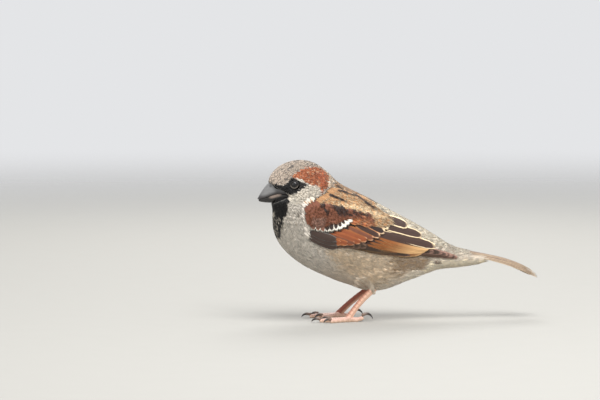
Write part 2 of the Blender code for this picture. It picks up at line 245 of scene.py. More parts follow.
# The body is read by rays shot inwards, ring after ring from the bill to the tail. A ring is its
# centre's x and z, how far its axis rises, and the opening of its cone of rays, in degrees.
form = {
    "rings": (
        (-60.6, 68.3, -14, 12), (-60.6, 68.3, -8, 32), (-60.6, 68.3, 5, 60), (-60.6, 68.3, 21, 90),
        (-56.2, 65.3, 29.6, 90), (-51.6, 60.4, 34.7, 90), (-46.0, 54.2, 38.7, 90),
        (-37.8, 48.7, 37.1, 90), (-27.2, 43.5, 33.9, 90), (-14.2, 37.7, 31.0, 90),
        (-0.7, 33.1, 29.9, 90), (12.2, 32.6, 32.9, 90), (24.0, 32.1, 36.5, 90),
        (35.9, 31.5, 27.3, 90), (47.7, 31.2, 5.3, 90), (58.0, 29.2, -14.0, 90),
    ),
    "count": 230,
    "around": 160,
    "solids": ("head", "neck", "trunk", "rump", "tail"),
    "bored": ("bill_upper", "bill_lower", "eye_L", "eye_R", "thigh_L", "thigh_R"),
    "soften": 7,
}
rayReach = 70                           # how far out of a ring's centre its rays start
facePlan = {"step": 0.7, "reach": 80, "soften": 5}      # of a wing's or the tail's face


def solidTree(names):
    points, faces, owner = [], [], []
    for name in names:
        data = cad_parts[name].data
        start = len(points)
        points += [v.co / mm for v in data.vertices]
        faces += [[start + i for i in p.vertices] for p in data.polygons]
        owner += [name] * len(data.polygons)
    return BVHTree.FromPolygons(points, faces), owner


def soften(grid, passes):               # light smoothing that keeps each ring closed
    for _ in range(passes):
        grid = (np.roll(grid, 1, 1) + 2 * grid + np.roll(grid, -1, 1)) / 4
        padded = np.concatenate([grid[:1], grid, grid[-1:]])
        grid = (padded[:-2] + 2 * padded[1:-1] + padded[2:]) / 4
    return grid


def middling(grid):                     # the middle of nine neighbours, to drop stray hits
    padded = np.concatenate([grid[:1], grid, grid[-1:]])
    near = [np.roll(padded, k, 1)[i:i + len(grid)] for i in range(3) for k in (-1, 0, 1)]
    return np.median(near, 0)


def bilinear(grid, u, v):               # the grid read between its points, closed around in v
    u = np.clip(u, 0, grid.shape[0] - 1.001)
    i, k = np.floor(u).astype(int), np.floor(v).astype(int)
    fu, fv = u - i, v - k
    if grid.ndim == 3:
        fu, fv = fu[..., None], fv[..., None]
    k0, k1 = k % grid.shape[1], (k + 1) % grid.shape[1]
    near = grid[i, k0] * (1 - fv) + grid[i, k1] * fv
    far = grid[i + 1, k0] * (1 - fv) + grid[i + 1, k1] * fv
    return near * (1 - fu) + far * fu


class Form:                             # a rounded body read off the solids, ring after ring
    def __init__(self, plan, centreY=0.0, press=None):
        tree, owner = solidTree(plan["solids"] + plan["bored"])
        around = plan["around"]
        turns = fullTurn(around)        # 0 along the back
        self.q = np.linspace(0, len(plan["rings"]) - 1, plan["count"])
        for again in range(2):          # the second time in even steps along the bird
            rings = spline(plan["rings"], self.q)
            rise, opening = np.radians(rings[:, 2]), np.radians(rings[:, 3])
            zero = np.zeros_like(rise)
            ahead = np.stack([-np.cos(rise), zero, np.sin(rise)], 1)[:, None]
            up = np.stack([np.sin(rise), zero, np.cos(rise)], 1)[:, None]
            spread = np.cos(turns)[:, None] * up + np.sin(turns)[:, None] * np.array([0, 1, 0])
            ray = np.cos(opening)[:, None, None] * ahead + np.sin(opening)[:, None, None] * spread
            centre = np.stack([rings[:, 0], zero + centreY, rings[:, 1]], 1)
            radius = np.full(ray.shape[:2], np.nan)
            for i in range(len(ray)):
                for k in range(around):
                    start = Vector(centre[i] + ray[i, k] * rayReach)
                    hit, _, face, _ = tree.ray_cast(start, Vector(-ray[i, k]))
                    if hit is not None and owner[face] not in plan["bored"]:
                        radius[i, k] = rayReach - (hit - start).length
            radius = soften(middling(self.fill(radius)), plan["soften"])
            self.p = centre[:, None] + radius[..., None] * ray
            if not again:
                pace = np.linalg.norm(np.diff(self.p, axis=0), axis=2).mean(1) + 1e-6
                run = np.concatenate([[0], np.cumsum(pace)])
                self.q = np.interp(np.linspace(0, run[-1], plan["count"]), run, self.q)
        self.turns = turns
        self.settle(ray)
        if press is not None:
            self.p -= self.n * press(self.p)[..., None]
            self.settle(ray)

    def settle(self, ray):              # slopes and normals of the grid of points
        self.du = np.gradient(self.p, axis=0)
        self.dv = (np.roll(self.p, -1, 1) - np.roll(self.p, 1, 1)) / 2
        self.n = np.cross(self.du, self.dv)
        self.n /= np.linalg.norm(self.n, axis=2, keepdims=True) + 1e-12
        self.hand = -1.0 if (self.n * ray).sum() < 0 else 1.0
        self.n *= self.hand
        self.n = soften(self.n, 3)
        self.n /= np.linalg.norm(self.n, axis=2, keepdims=True)
        self.mu = np.linalg.norm(self.du, axis=2)
        self.mv = np.linalg.norm(self.dv, axis=2)

    def fill(self, radius):             # bridges what the bill, eyes and thighs take out
        turns = np.arange(radius.shape[1])
        for row in radius:
            there = ~np.isnan(row)
            enough = there.sum() > 12
            row[:] = np.interp(turns, turns[there], row[there], period=len(turns)) if enough else np.nan
        rows = np.where(~np.isnan(radius[:, 0]))[0]
        return radius[[rows[np.argmin(abs(rows - i))] for i in range(len(radius))]]

    def at(self, u, v):
        n = bilinear(self.n, u, v)
        n = n / np.linalg.norm(n, axis=-1, keepdims=True)
        return bilinear(self.p, u, v), n

    def scale(self, u, v):
        return bilinear(self.mu, u, v), bilinear(self.mv, u, v)


class Drape:                            # a face read off the solids as heights over two axes
    def __init__(self, axis, sign, low, high, solids):
        self.axis, self.sign, self.other = axis, sign, 3 - axis
        self.hand = sign if axis == 2 else -sign
        self.low, self.step = low, facePlan["step"]
        tree, _ = solidTree(solids)
        count = ((high - low) / self.step).astype(int) + 2
        out = np.full(count, np.nan)
        down = np.zeros(3)
        down[axis] = -sign
        for i in range(count[0]):
            for k in range(count[1]):
                start = -facePlan["reach"] * down
                start[0], start[self.other] = low + np.array([i, k]) * self.step
                hit = tree.ray_cast(Vector(start), Vector(down))[0]
                if hit is not None and hit[axis] * sign > 0:
                    out[i, k] = hit[axis] * sign
        while np.isnan(out).any():      # carries the face a little past its own outline
            near = self.around(out, np.nan)
            known = ~np.isnan(near)
            total = np.where(known, near, 0).sum(0)
            mean = np.where(known.any(0), total / np.maximum(known.sum(0), 1), np.nan)
            out = np.where(np.isnan(out), mean, out)
        for _ in range(facePlan["soften"]):
            out = self.around(out, None).mean(0)
        self.out = out
        self.slopes = np.gradient(out, self.step)

    def around(self, grid, rim):
        padded = np.pad(grid, 1, mode="edge") if rim is None else np.pad(grid, 1, constant_values=rim)
        high, wide = grid.shape
        return np.stack([padded[i:i + high, k:k + wide] for i in range(3) for k in range(3)])

    def read(self, grid, u, v):
        u, v = (u - self.low[0]) / self.step, (v - self.low[1]) / self.step
        return bilinear(grid, u, np.clip(v, 0, grid.shape[1] - 1.001))

    def at(self, u, v):
        p, n = np.zeros((*u.shape, 3)), np.zeros((*u.shape, 3))
        p[..., 0], p[..., self.other], p[..., self.axis] = u, v, self.sign * self.read(self.out, u, v)
        n[..., 0], n[..., self.other] = -self.read(self.slopes[0], u, v), -self.read(self.slopes[1], u, v)
        n[..., self.axis] = self.sign
        return p, n / np.linalg.norm(n, axis=-1, keepdims=True)

    def scale(self, u, v):
        return np.ones_like(u), np.ones_like(v)


# The bill's mouth line from the face's anchor, back to the corner of the gape, and how far the
# feathered form is pressed in along it
gape = {
    "line": ((-18, -8.4), (-14.8, -7.7), (-11.6, -6.4), (-8.4, -5.2), (-4.2, -5.7), (-1.8, -6.2)),
    "press": (0.0, 0.0, 1.2, 2.2, 2.6, 1.2), "width": 2.1, "past": 2, "sides": (1.5, 4.5),
}
gapeX, gapeZ = np.array(gape["line"], float).T
eyeSocket = {"press": 0.5, "inner": 1.8, "outer": 3.9}


def pressed(p):                         # the hollow round each eye and the groove along the gape
    away = np.hypot(p[..., 0] - eyeAt[0], p[..., 2] - eyeAt[1])
    eye = eyeSocket["press"] * (1 - smooth(eyeSocket["inner"], eyeSocket["outer"], away))
    x, z = p[..., 0] - faceAt[0], p[..., 2] - faceAt[1]
    off = z - np.interp(x, gapeX, gapeZ)
    groove = np.interp(x, gapeX, gape["press"]) * (x > gapeX[0]) * (x < gapeX[-1] + gape["past"])
    groove = groove * np.exp(-(off / gape["width"]) ** 2) * smooth(*gape["sides"], abs(p[..., 1]))
    return soften((eye + groove)[..., None], 3)[..., 0]


print("reading the body's form")
body = Form(form, press=pressed)
wingParts = ("coverts", "tertials", "primaries")
wingNodes = {side: tuple(f"wing_{part}_{side}" for part in wingParts) for side in sideSign}
past = 5                                # how far each face is read past its solids' box
drapes = {}
for side, sign in sideSign.items():
    low, high = boxOf(*wingNodes[side])
    solids = wingNodes[side] + ("neck", "trunk", "rump")
    drapes[side] = Drape(1, sign, low[[0, 2]] - past, high[[0, 2]] + past, solids)
low, high = boxOf("tail")
tailTop = Drape(2, 1, low[:2] - (20, past), high[:2] + past, ("rump", "tail"))


paints = {
    "crown": (192, 175, 158), "crownFleck": (92, 82, 72), "fawn": (214, 164, 128),
    "chestnut": (180, 104, 66), "rufous": (186, 100, 62), "umber": (92, 54, 38), "black": (5, 4, 4),
    "soot": (34, 30, 27), "slate": (104, 98, 92), "cheek": (216, 205, 188), "white": (244, 237, 222),
    "collar": (214, 188, 160), "breast": (218, 208, 195), "breastPale": (238, 231, 219),
    "smudge": (120, 110, 100), "belly": (228, 212, 191), "bellyPale": (242, 228, 208),
    "flank": (220, 194, 162), "flankPale": (236, 214, 184), "vent": (150, 120, 84),
    "ventPale": (174, 144, 108), "undertail": (236, 220, 188), "undertailPale": (242, 230, 206),
    "rump": (240, 222, 196), "rumpPale": (254, 242, 218), "uppertail": (150, 132, 112),
    "buff": (166, 122, 82), "buffPale": (212, 168, 120), "cream": (246, 220, 180), "bark": (48, 34, 29),
    # down is the downy bases' own grey, darkened also as painted shade at the feathers' roots
    "earth": (108, 84, 68), "down": (184, 175, 162), "lesser": (120, 72, 52), "lesserTip": (158, 100, 70),
    "chestnutBright": (156, 86, 48), "russet": (142, 76, 44), "mauve": (120, 82, 66),
    "mauvePale": (160, 122, 106), "orange": (190, 124, 76), "umberDark": (66, 45, 37),
    "alula": (70, 55, 48), "primaryCovert": (64, 48, 36), "primary": (60, 45, 35),
    "primaryEdge": (90, 68, 44), "panel": (142, 84, 40), "panelEnd": (218, 174, 120),
    # the bill's pale side paint is a painted sky reflection on the dark horn
    "tail": (116, 94, 76), "tailEdge": (192, 168, 136), "billSkyReflection": (118, 117, 116),
    "billDark": (44, 40, 40), "billBlack": (30, 27, 26), "billPale": (150, 132, 120), "pupil": (4, 3, 3),
    "iris": (22, 14, 11), "lid": (92, 86, 78), "lidDark": (28, 25, 23), "legPink": (244, 196, 168),
    # the legs' dark red-brown is the front scutes' own colour and also painted shade on the inner sides
    "legFrontAndShade": (152, 80, 58), "legDusk": (92, 60, 52), "toeTop": (222, 180, 162),
    "toePad": (232, 196, 170), "clawRoot": (128, 104, 90), "clawTip": (44, 37, 33),
}
paints = {name: paint(*screen) for name, screen in paints.items()}

# Each patch is an outline on the bird's side, from an anchor: x back, z up. Soft is the width of
# its edge. Its paints are the webs' and the margins', and the tips' where it has no other. Margins
# start at edgeAt and tips at tipAt of the vane. A fleck is another paint and the odds of it.
patches = {
    "flank": {
        "from": "wing", "soft": 5.0, "paints": ("flank", "flankPale"),
        "outline": ((8, 8), (30, 6), (60, 4), (64, -4), (40, -12), (22, -6)),
    },
    "vent": {
        "from": "wing", "soft": 5.0, "paints": ("vent", "ventPale"),
        "outline": ((44, 3), (66, 2.5), (67.5, -4), (58, -6.5), (46, -6)),
    },
    "vent tuft": {
        "from": "wing", "soft": 3.0, "paints": ("bellyPale", "undertailPale"),
        "outline": ((56, -5), (66, -5.5), (70, -9), (56, -14), (50, -14), (53, -8)),
    },
    "undertail": {
        "from": "tail", "soft": 1.6, "paints": ("undertail", "undertailPale"),
        "outline": ((-32, 10.0), (-20, 9.6), (4, 9.0), (16, 8), (16, -4), (-34, -6), (-33, 4)),
    },
    "undertail spot": {
        "from": "tail", "soft": 0.5, "paints": ("earth", "vent"),
        "outline": ((-28.6, 9.8), (-25.6, 9.4), (-25.6, 7.6), (-28.8, 8.0)),
    },
    "upper tail": {
        "from": "tail", "soft": 1.2, "paints": ("uppertail", "rumpPale"), "edgeAt": 0.6,
        "outline": ((-22, 20), (-16, 13.2), (2, 10.6), (20, 9), (20, 20)),
    },
    "hindneck": {
        "from": "face", "soft": 1.0, "paints": ("collar", "crown"), "fleck": ("white", 0.15),
        "outline": ((12, 9), (17, 9), (22, 6), (30, 1), (26, -5), (20, -5), (18.2, -6), (15, -4),
                    (13, 2)),
    },
    "crown": {
        "from": "face", "soft": 0.5, "paints": ("crownFleck", "crown"), "edgeAt": 0.3, "tipAt": 0.55,
        "fleck": ("slate", 0.16),
        "outline": ((-14, -1.6), (-12, 0.2), (-10.9, -0.2), (-7.2, -0.3), (-5.2, -0.6), (-3.6, 0.9),
                    (-2.1, 2.7), (-1.4, 4), (3.4, 7), (6.8, 8.5), (11.8, 8.8), (15.8, 6.8), (18, 8),
                    (14, 14), (2, 18), (-8, 16), (-18, 6)),
    },
    "chestnut": {
        "from": "face", "soft": 0.5, "paints": ("chestnut", "rufous"), "tip": "rufous", "tipAt": 0.85,
        "fleck": ("fawn", 0.1),
        "outline": ((-1.6, 4), (0.3, 5), (3.4, 7), (6.8, 8.5), (11.8, 8.8), (16.4, 7.2), (18.8, 4.2),
                    (19.1, 0.6), (17.4, -2.8), (14.1, -5.5), (13.4, -2.3), (11.3, -1.1), (8.3, -0.3),
                    (5.5, 0.5), (4.8, 2), (2.4, 2.5), (0.5, 2.8)),
    },
    "nape": {
        "from": "face", "soft": 1.0, "paints": ("rufous", "rufous"), "fleck": ("fawn", 0.08),
        "outline": ((12.8, 5), (16.4, 6.5), (17.6, 2.5), (16.4, -2.5), (14.3, -3)),
    },
    "cheek": {
        "from": "face", "soft": 0.6, "paints": ("cheek", "cheek"), "tip": "white", "tipAt": 0.8,
        "outline": ((5.8, -0.6), (8.3, -0.4), (11.3, -1.3), (13.3, -2.5), (13.8, -5.5), (11.3, -7.7),
                    (6.3, -9.8), (0.3, -11.1), (-2.6, -10.1), (-2.6, -6), (0.3, -5.3), (2.9, -3.5)),
    },
    "collar": {
        "from": "face", "soft": 0.6, "paints": ("cheek", "cheek"), "tipAt": 0.6, "fleck": ("white", 0.12),
        "outline": ((13.9, -5.5), (16.4, -2.8), (18.2, -1.6), (18.9, -4.5), (16.4, -6.8), (13.3, -8.8),
                    (8.8, -10.7), (5.8, -11.2), (5.8, -10.3), (10.8, -8.4)),
    },
    "eye stripe": {
        "from": "face", "soft": 0.5, "paints": ("soot", "slate"), "edgeAt": 0.9, "tipAt": 0.9,
        "outline": ((1.4, 2.2), (4.3, 0.7), (6.8, 0.1), (9.1, -0.3), (6.3, -1.3), (3.8, -2.8),
                    (1.1, -4.5), (0.3, -3)),
    },
    "mask": {
        "from": "face", "soft": 0.35, "paints": ("black", "black"), "tip": "soot", "tipAt": 0.85,
        "outline": ((-11.5, -0.4), (-10, 0.1), (-7.2, -0.6), (-5.2, -0.8), (-3.6, 0.7), (-2.1, 2.5),
                    (-1.4, 3.7), (0.3, 2.7), (1.6, 1.9), (2.9, 0.8), (3.1, -0.6), (2.9, -2.3),
                    (0.9, -4.8), (-1.6, -5.4), (-3.4, -5.4), (-2.8, -7), (-2.6, -8.8), (-4.2, -10.4),
                    (-3.9, -13.1), (-4.4, -15.6), (-6.4, -18.1), (-7.8, -19.1), (-12, -18.8), (-14, -10),
                    (-14, -3)),
    },
    "brow spot": {
        "from": "face", "soft": 0.2, "paints": ("white", "white"),
        "outline": ((1.2, 2.9), (2.9, 2.6), (4.7, 2.1), (5.2, 0.9), (3.8, 0.8), (2.2, 1.8)),
    },
    "bib": {
        "from": "face", "soft": 0.7, "paints": ("black", "soot"), "tip": "slate", "edgeAt": 0.7,
        "tipAt": 0.9, "fleck": ("cheek", 0.2),
        "outline": ((-13, -17.8), (-7.0, -17.8), (-6.2, -20.6), (-6.8, -24), (-7.6, -29.0), (-9.6, -28.4),
                    (-12, -24)),
    },
    "bib edge": {
        "from": "face", "soft": 0.4, "paints": ("cheek", "white"),
        "outline": ((-13, -14.6), (-10.4, -14.8), (-9.6, -17.4), (-13, -18.0)),
    },
    "smudge": {
        "from": "wing", "soft": 0.4, "paints": ("smudge", "breast"),
        "outline": ((-4.6, 26.4), (-3.2, 26.2), (-3.6, 23.4), (-4.8, 23.6)),
    },
    "fringe": {
        "from": "wing", "soft": 0.7, "paints": ("breast", "breastPale"), "tipAt": 0.7,
        "fleck": ("white", 0.04),
        "outline": ((-3.4, 29.6), (-0.8, 29.6), (1.4, 25.4), (3.0, 22.6), (0.4, 21.6), (-2.4, 24.6)),
    },
    "mantle": {
        "from": "wing", "soft": 0.8, "paints": ("buff", "buffPale"), "tip": "cream", "edgeAt": 0.7,
        "tipAt": 0.9, "fleck": ("cream", 0.1),
        "outline": ((1, 30.3), (5.5, 31.3), (9, 32.8), (13.5, 35.1), (15, 37.8), (18, 42), (26, 45),
                    (37, 38), (38, 31), (39, 27), (43, 23.5), (44, 20), (40, 18), (20, 25)),
    },
    "lower back": {
        "from": "wing", "soft": 1.2, "paints": ("rump", "rumpPale"), "tipAt": 0.7,
        "outline": ((36, 38), (44, 38), (60, 30), (78, 16), (76, 6), (56, 13), (44, 21), (39, 27),
                    (38, 31)),
    },
}

# Dark streaks of the back from the wing's anchor: from, to, and half width, on both sides
streaks = (
    ((17.4, 39.2), (19.6, 38.6), 0.4), ((17.4, 37.5), (22.8, 36.5), 0.5), ((13.0, 35.2), (20.7, 31.9), 0.6),
    ((20.7, 36.4), (28.0, 34.4), 0.5), ((28.0, 34.4), (36.5, 27.8), 0.6), ((36.2, 32.2), (39.6, 30.4), 0.5),
    ((39.5, 28.2), (45.6, 22.5), 0.2), ((23.0, 40.4), (32.0, 37.4), 0.4),
)
streakEdge = (0.3, -0.2)                # from the half width out to bare ground, and in to full
midline = (0.6, 2.4)                    # streaks fade out towards the middle of the back


def depthInside(outline, x, z):         # how far a point lies inside an outline, negative outside
    points = np.array(outline, float)
    nearest, odd = np.full(x.shape, 1e9), np.zeros(x.shape, bool)
    for a, b in zip(points, np.roll(points, -1, 0)):
        nearest = np.minimum(nearest, fromLine(a, b, x, z))
        if b[1] != a[1]:
            crossing = (b[0] - a[0]) * (z - a[1]) / (b[1] - a[1]) + a[0]
            odd ^= ((a[1] > z) != (b[1] > z)) & (x < crossing)
    return np.where(odd, nearest, -nearest)


def fromLine(a, b, x, z):
    ex, ez = b[0] - a[0], b[1] - a[1]
    share = np.clip(((x - a[0]) * ex + (z - a[1]) * ez) / (ex * ex + ez * ez), 0, 1)
    return np.hypot(x - a[0] - ex * share, z - a[1] - ez * share)


anchors = {"face": faceAt, "wing": wingAt, "tail": tailAt}
layers = ("web", "margin", "tip", "down")
edgeShare = 0.8                         # where margins and tips start unless a patch says so
tipShare = 0.82                         # where tips start off the patches
breastTurns = (-28, -48)                # x where the belly's paint turns into the breast's
mottleRange = (0.15, 0.85)              # how unevenly a patch's edge takes from feather to feather
oddFeathers = {"smudge": 0.08, "smudgeEdge": 0.35, "dusky": 0.12, "duskyShare": 0.5, "duskyEdge": 0.3}


def evenPaint(n, *names):               # the same paints for every feather
    return {key: np.tile(paints[name], (n, 1)) for key, name in zip(layers, names)}


def tint(look, share, **changes):       # lays new paints over old ones by a share of 0 to 1
    for key, value in changes.items():
        if look[key].ndim == 2:
            look[key] += (value - look[key]) * share[:, None]
        else:
            look[key] += (value - look[key]) * share


def layPatches(look, laid, x, z, mottle):
    for patch in laid.values():
        ax, az = anchors[patch["from"]]
        depth = depthInside(patch["outline"], x - ax, z - az)
        share = smooth(-patch["soft"], patch["soft"], depth)
        if mottle is not None:
            share = np.clip((share - mottle) * 3 + 0.5, 0, 1)
        web, margin = (paints[name] for name in patch["paints"])
        tint(look, share, web=web, margin=margin, tip=paints.get(patch.get("tip"), margin),
             edgeAt=patch.get("edgeAt", edgeShare), tipAt=patch.get("tipAt", edgeShare))
        if "fleck" in patch and mottle is not None:         # odd feathers of another paint
            name, odds = patch["fleck"]
            some = share * (dice.uniform(0, 1, len(x)) < odds)
            tint(look, some, web=paints[name], margin=paints[name], tip=paints[name])


def plumage(p, mottle=None):            # what grows at each point; mottle breaks the patches' edges
    x, z, n = p[:, 0], p[:, 2], len(p)
    look = evenPaint(n, "belly", "bellyPale", "bellyPale", "down")
    look["edgeAt"], look["tipAt"] = np.full(n, edgeShare), np.full(n, tipShare)
    breast = smooth(*breastTurns, x)
    tint(look, breast, web=paints["breast"], margin=paints["breastPale"], tip=paints["breastPale"])
    if mottle is not None:
        odd = breast * (dice.uniform(0, 1, n) < oddFeathers["smudge"])
        tint(look, odd, web=paints["smudge"], edgeAt=oddFeathers["smudgeEdge"])
        odd = (1 - breast) * (dice.uniform(0, 1, n) < oddFeathers["dusky"])
        tint(look, odd * oddFeathers["duskyShare"], web=paints["vent"], edgeAt=oddFeathers["duskyEdge"])
    layPatches(look, patches, x, z, mottle)
    return look


def streaked(points, colours, stray):   # the back's dark streaks run on from feather to feather
    x, z = points[:, 0] - wingAt[0], points[:, 2] - wingAt[1]
    dark = np.zeros(len(points))
    for a, b, half in streaks:
        edge = half + streakEdge[0], half + streakEdge[1]
        dark = np.maximum(dark, smooth(*edge, fromLine(a, b, x, z) + stray))
    dark *= smooth(*midline, np.abs(points[:, 1]))
    return colours + (paints["bark"] - colours) * dark[:, None]


def vaneBlank(lanes, rows, cut, gather=1.0):
    points, faces = [], []              # each point: along, across, which face, which barb

    def put(*point):
        points.append(point)
        return len(points) - 1

    top = np.zeros((rows + 1, lanes + 1), int)
    under = np.zeros((rows + 1, lanes + 1), int)
    for i in range(rows + 1):
        for k in range(lanes + 1):
            rim = i == 0 or k in (0, lanes)
            along, across = cut * (i / rows) ** gather, 2 * k / lanes - 1
            top[i, k] = put(along, across, 0 if rim else 1, -1)
            under[i, k] = top[i, k] if rim else put(along, across, -1, -1)
    for i in range(rows):
        for k in range(lanes):
            a, b, c, d = top[i, k], top[i, k + 1], top[i + 1, k + 1], top[i + 1, k]
            faces += [(a, b, c), (a, c, d)]
            a, b, c, d = under[i, k], under[i, k + 1], under[i + 1, k + 1], under[i + 1, k]
            faces += [(a, c, b), (a, d, c)]
    ends = [put(1.0, (2 * k + 1) / lanes - 1, 0, k) for k in range(lanes)]
    for k in range(lanes):
        faces.append((top[rows, k], top[rows, k + 1], ends[k]))
        faces.append((under[rows, k + 1], under[rows, k], ends[k]))
        if k < lanes - 1:               # the walls between two barbs
            faces.append((top[rows, k + 1], under[rows, k + 1], ends[k]))
            faces.append((under[rows, k + 1], top[rows, k + 1], ends[k + 1]))
    along, across, face, barb = np.array(points, float).T
    return {"along": along, "across": across, "face": face, "barb": barb.astype(int),
            "faces": np.array(faces)[:, ::-1]}


def layVanes(surface, plan, blank, cut):
    n, barb = len(plan["u"]), blank["barb"]
    keys = ("u", "v", "heading", "length", "low", "high", "root", "lift", "bend", "cup")
    col = {key: np.asarray(plan[key], float)[:, None] for key in keys}
    fray = np.zeros((n, len(barb)))
    ends = barb >= 0
    fray[:, ends] = dice.uniform(-cut["fray"], 0, (n, ends.sum()))      # barbs end unevenly
    along = blank["along"] + fray
    across = blank["across"] * np.interp(along, *zip(*cut["outline"]))
    across = across + ends * dice.uniform(-0.12, 0.12, (n, len(barb)))
    nicks = cut["nick"] * dice.uniform(0, 1, (n, len(barb)))
    across = across * (1 - nicks * (abs(blank["across"]) > 0.99))
    forward = along * col["length"]
    aside = across * np.where(across < 0, col["low"], col["high"])
    aside = aside + col["bend"] * 4 * along * (1 - along)
    mu, mv = surface.scale(plan["u"], plan["v"])
    du = (np.cos(col["heading"]) * forward - np.sin(col["heading"]) * aside) / mu[:, None]
    dv = (np.sin(col["heading"]) * forward + np.cos(col["heading"]) * aside) / mv[:, None]
    p, normal = surface.at(col["u"] + du, col["v"] + dv)
    height = col["root"] + (col["lift"] - col["root"]) * np.clip(along, 0, 1) ** cut["rise"]
    height = height - col["cup"] * across**2 + blank["face"] * cut["thick"] / 2
    if "wave" in cut:                   # long webs ripple a little
        height = height + cut["wave"] * np.sin(along * 9 + plan["chance"][:, None] * 20) * across
    return p + normal * height[..., None]


class Coat:                             # the vanes of one piece, gathered and made as one mesh
    def __init__(self, name, streaky=False):
        self.name, self.streaky = name, streaky
        self.parts = []

    def add(self, surface, plan, blank, cut):
        if len(plan["u"]):
            points = layVanes(surface, plan, blank, cut)
            faces = blank["faces"] if surface.hand > 0 else blank["faces"][:, ::-1]
            self.parts.append((points, faces, plan, blank))

    def make(self, finish, slotName, *nodes):
        points, faces, start = [], [], 0
        for grid, corners, _, _ in self.parts:
            n, m = grid.shape[:2]
            points.append(grid.reshape(-1, 3))
            faces.append((corners[None] + (start + np.arange(n) * m)[:, None, None]).reshape(-1, 3))
            start += n * m
        points = np.concatenate(points)
        obj = meshPiece(self.name, points, np.concatenate(faces), finish)
        stray = self.spread("chance") * 0.5 - 0.25
        for key in layers:
            colours = self.spread(key)
            setPaint(obj, key, streaked(points, colours, stray) if self.streaky else colours)
        if "outer" in self.parts[0][2]:
            setPaint(obj, "web", self.fade())
        pattern = np.stack([self.spread(key) for key in ("edgeAt", "tipAt", "chance")], 1)
        data = obj.data.attributes.new("pattern", "FLOAT_VECTOR", "POINT").data
        data.foreach_set("vector", pattern.astype(np.float32).ravel())
        vane = np.concatenate([
            np.tile(np.stack([(blank["across"] + 1) / 2, blank["along"]], 1), (len(plan["u"]), 1))
            for _, _, plan, blank in self.parts])
        setMap(obj, "vane", vane)
        bake = self.spread("bake")      # each vane's own patch: middle and size
        setMap(obj, "OFBake", bake[:, :2] + (vane - 0.5) * bake[:, 2:])
        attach(obj, "root")
        if nodes:
            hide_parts(*nodes)
        count = sum(len(plan["u"]) for _, _, plan, _ in self.parts)
        print(f"  {self.name}: {count} feathers, {len(obj.data.polygons)} faces")

    def spread(self, key):
        return np.concatenate([np.repeat(plan[key], len(blank["along"]), 0)
                               for _, _, plan, blank in self.parts])

    def fade(self):                     # an outer web of its own paint, and both webs turning to the end
        found = []
        for _, _, plan, blank in self.parts:
            outer = smooth(0.02, -0.14, blank["across"])[None, :, None]
            end = smooth(0.25, 0.95, blank["along"])[None, :, None]
            webs = plan["web"][:, None] * (1 - outer) + plan["outer"][:, None] * outer
            ends = plan["web"][:, None] * (1 - outer) + plan["outerEnd"][:, None] * outer
            found.append((webs * (1 - end) + ends * end).reshape(-1, 3))
        return np.concatenate(found)


def meshPiece(name, points, faces, finish):
    mesh = bpy.data.meshes.new(name)
    mesh.vertices.add(len(points))
    mesh.vertices.foreach_set("co", (points * mm).astype(np.float32).ravel())
    mesh.loops.add(faces.size)
    mesh.loops.foreach_set("vertex_index", faces.astype(np.int32).ravel())
    mesh.polygons.add(len(faces))
    mesh.polygons.foreach_set("loop_start", np.arange(0, faces.size, faces.shape[1], dtype=np.int32))
    mesh.polygons.foreach_set("use_smooth", np.ones(len(faces), bool))
    mesh.update(calc_edges=True)
    mesh.materials.append(finish)
    return placed(name, mesh)


def setPaint(obj, name, colours):
    layer = obj.data.attributes.get(name) or obj.data.attributes.new(name, "FLOAT_COLOR", "POINT")
    data = layer.data
    data.foreach_set("color", np.hstack([colours, np.ones((len(colours), 1))]).astype(np.float32).ravel())


def setMap(obj, name, perPoint):
    corners = np.zeros(len(obj.data.loops), np.int32)
    obj.data.loops.foreach_get("vertex_index", corners)
    layer = obj.data.uv_layers.new(name=name)
    layer.uv.foreach_set("vector", perPoint[corners].astype(np.float32).ravel())


# How finely each kind of vane is built: lanes, rows, where its barbs part, and how its rows gather.
# A cut's outline is the half width along the vane.
blanks = {
    "fine": vaneBlank(3, 2, 0.52), "soft": vaneBlank(4, 3, 0.5), "broad": vaneBlank(7, 4, 0.62),
    "quill": vaneBlank(12, 26, 0.965, 0.85), "covert": vaneBlank(8, 12, 0.93, 0.85),
    "split": vaneBlank(7, 8, 0.8),
}
cuts = {
    "fine": {
        "outline": ((0, 0.3), (0.3, 0.9), (0.6, 1), (0.8, 0.9), (1, 0.75)),
        "fray": 0.2, "nick": 0.2, "rise": 0.8, "thick": 0.04,
    },
    "soft": {
        "outline": ((0, 0.3), (0.3, 0.85), (0.6, 1), (0.8, 0.95), (1, 0.8)),
        "fray": 0.24, "nick": 0.2, "rise": 0.8, "thick": 0.05,
    },
    "broad": {
        "outline": ((0, 0.3), (0.25, 0.8), (0.55, 1), (0.75, 0.85), (0.9, 0.6), (1, 0.35)),
        "fray": 0.16, "nick": 0.12, "rise": 0.8, "thick": 0.05,
    },
    "quill": {
        "outline": ((0, 0.35), (0.06, 0.6), (0.25, 0.92), (0.55, 1), (0.8, 0.9), (0.92, 0.66), (0.97, 0.42),
                    (1, 0.2)),
        "fray": 0.008, "nick": 0.04, "rise": 0.6, "thick": 0.1, "wave": 0.05,
    },
    "round": {
        "outline": ((0, 0.35), (0.1, 0.65), (0.35, 0.95), (0.65, 1), (0.85, 0.86), (0.95, 0.58), (1, 0.3)),
        "fray": 0.03, "nick": 0.06, "rise": 0.7, "thick": 0.08,
    },
    "split": {
        "outline": ((0, 0.35), (0.2, 0.85), (0.5, 1), (0.8, 0.8), (0.93, 0.55), (1, 0.3)),
        "fray": 0.12, "nick": 0.1, "rise": 0.7, "thick": 0.08,
    },
}

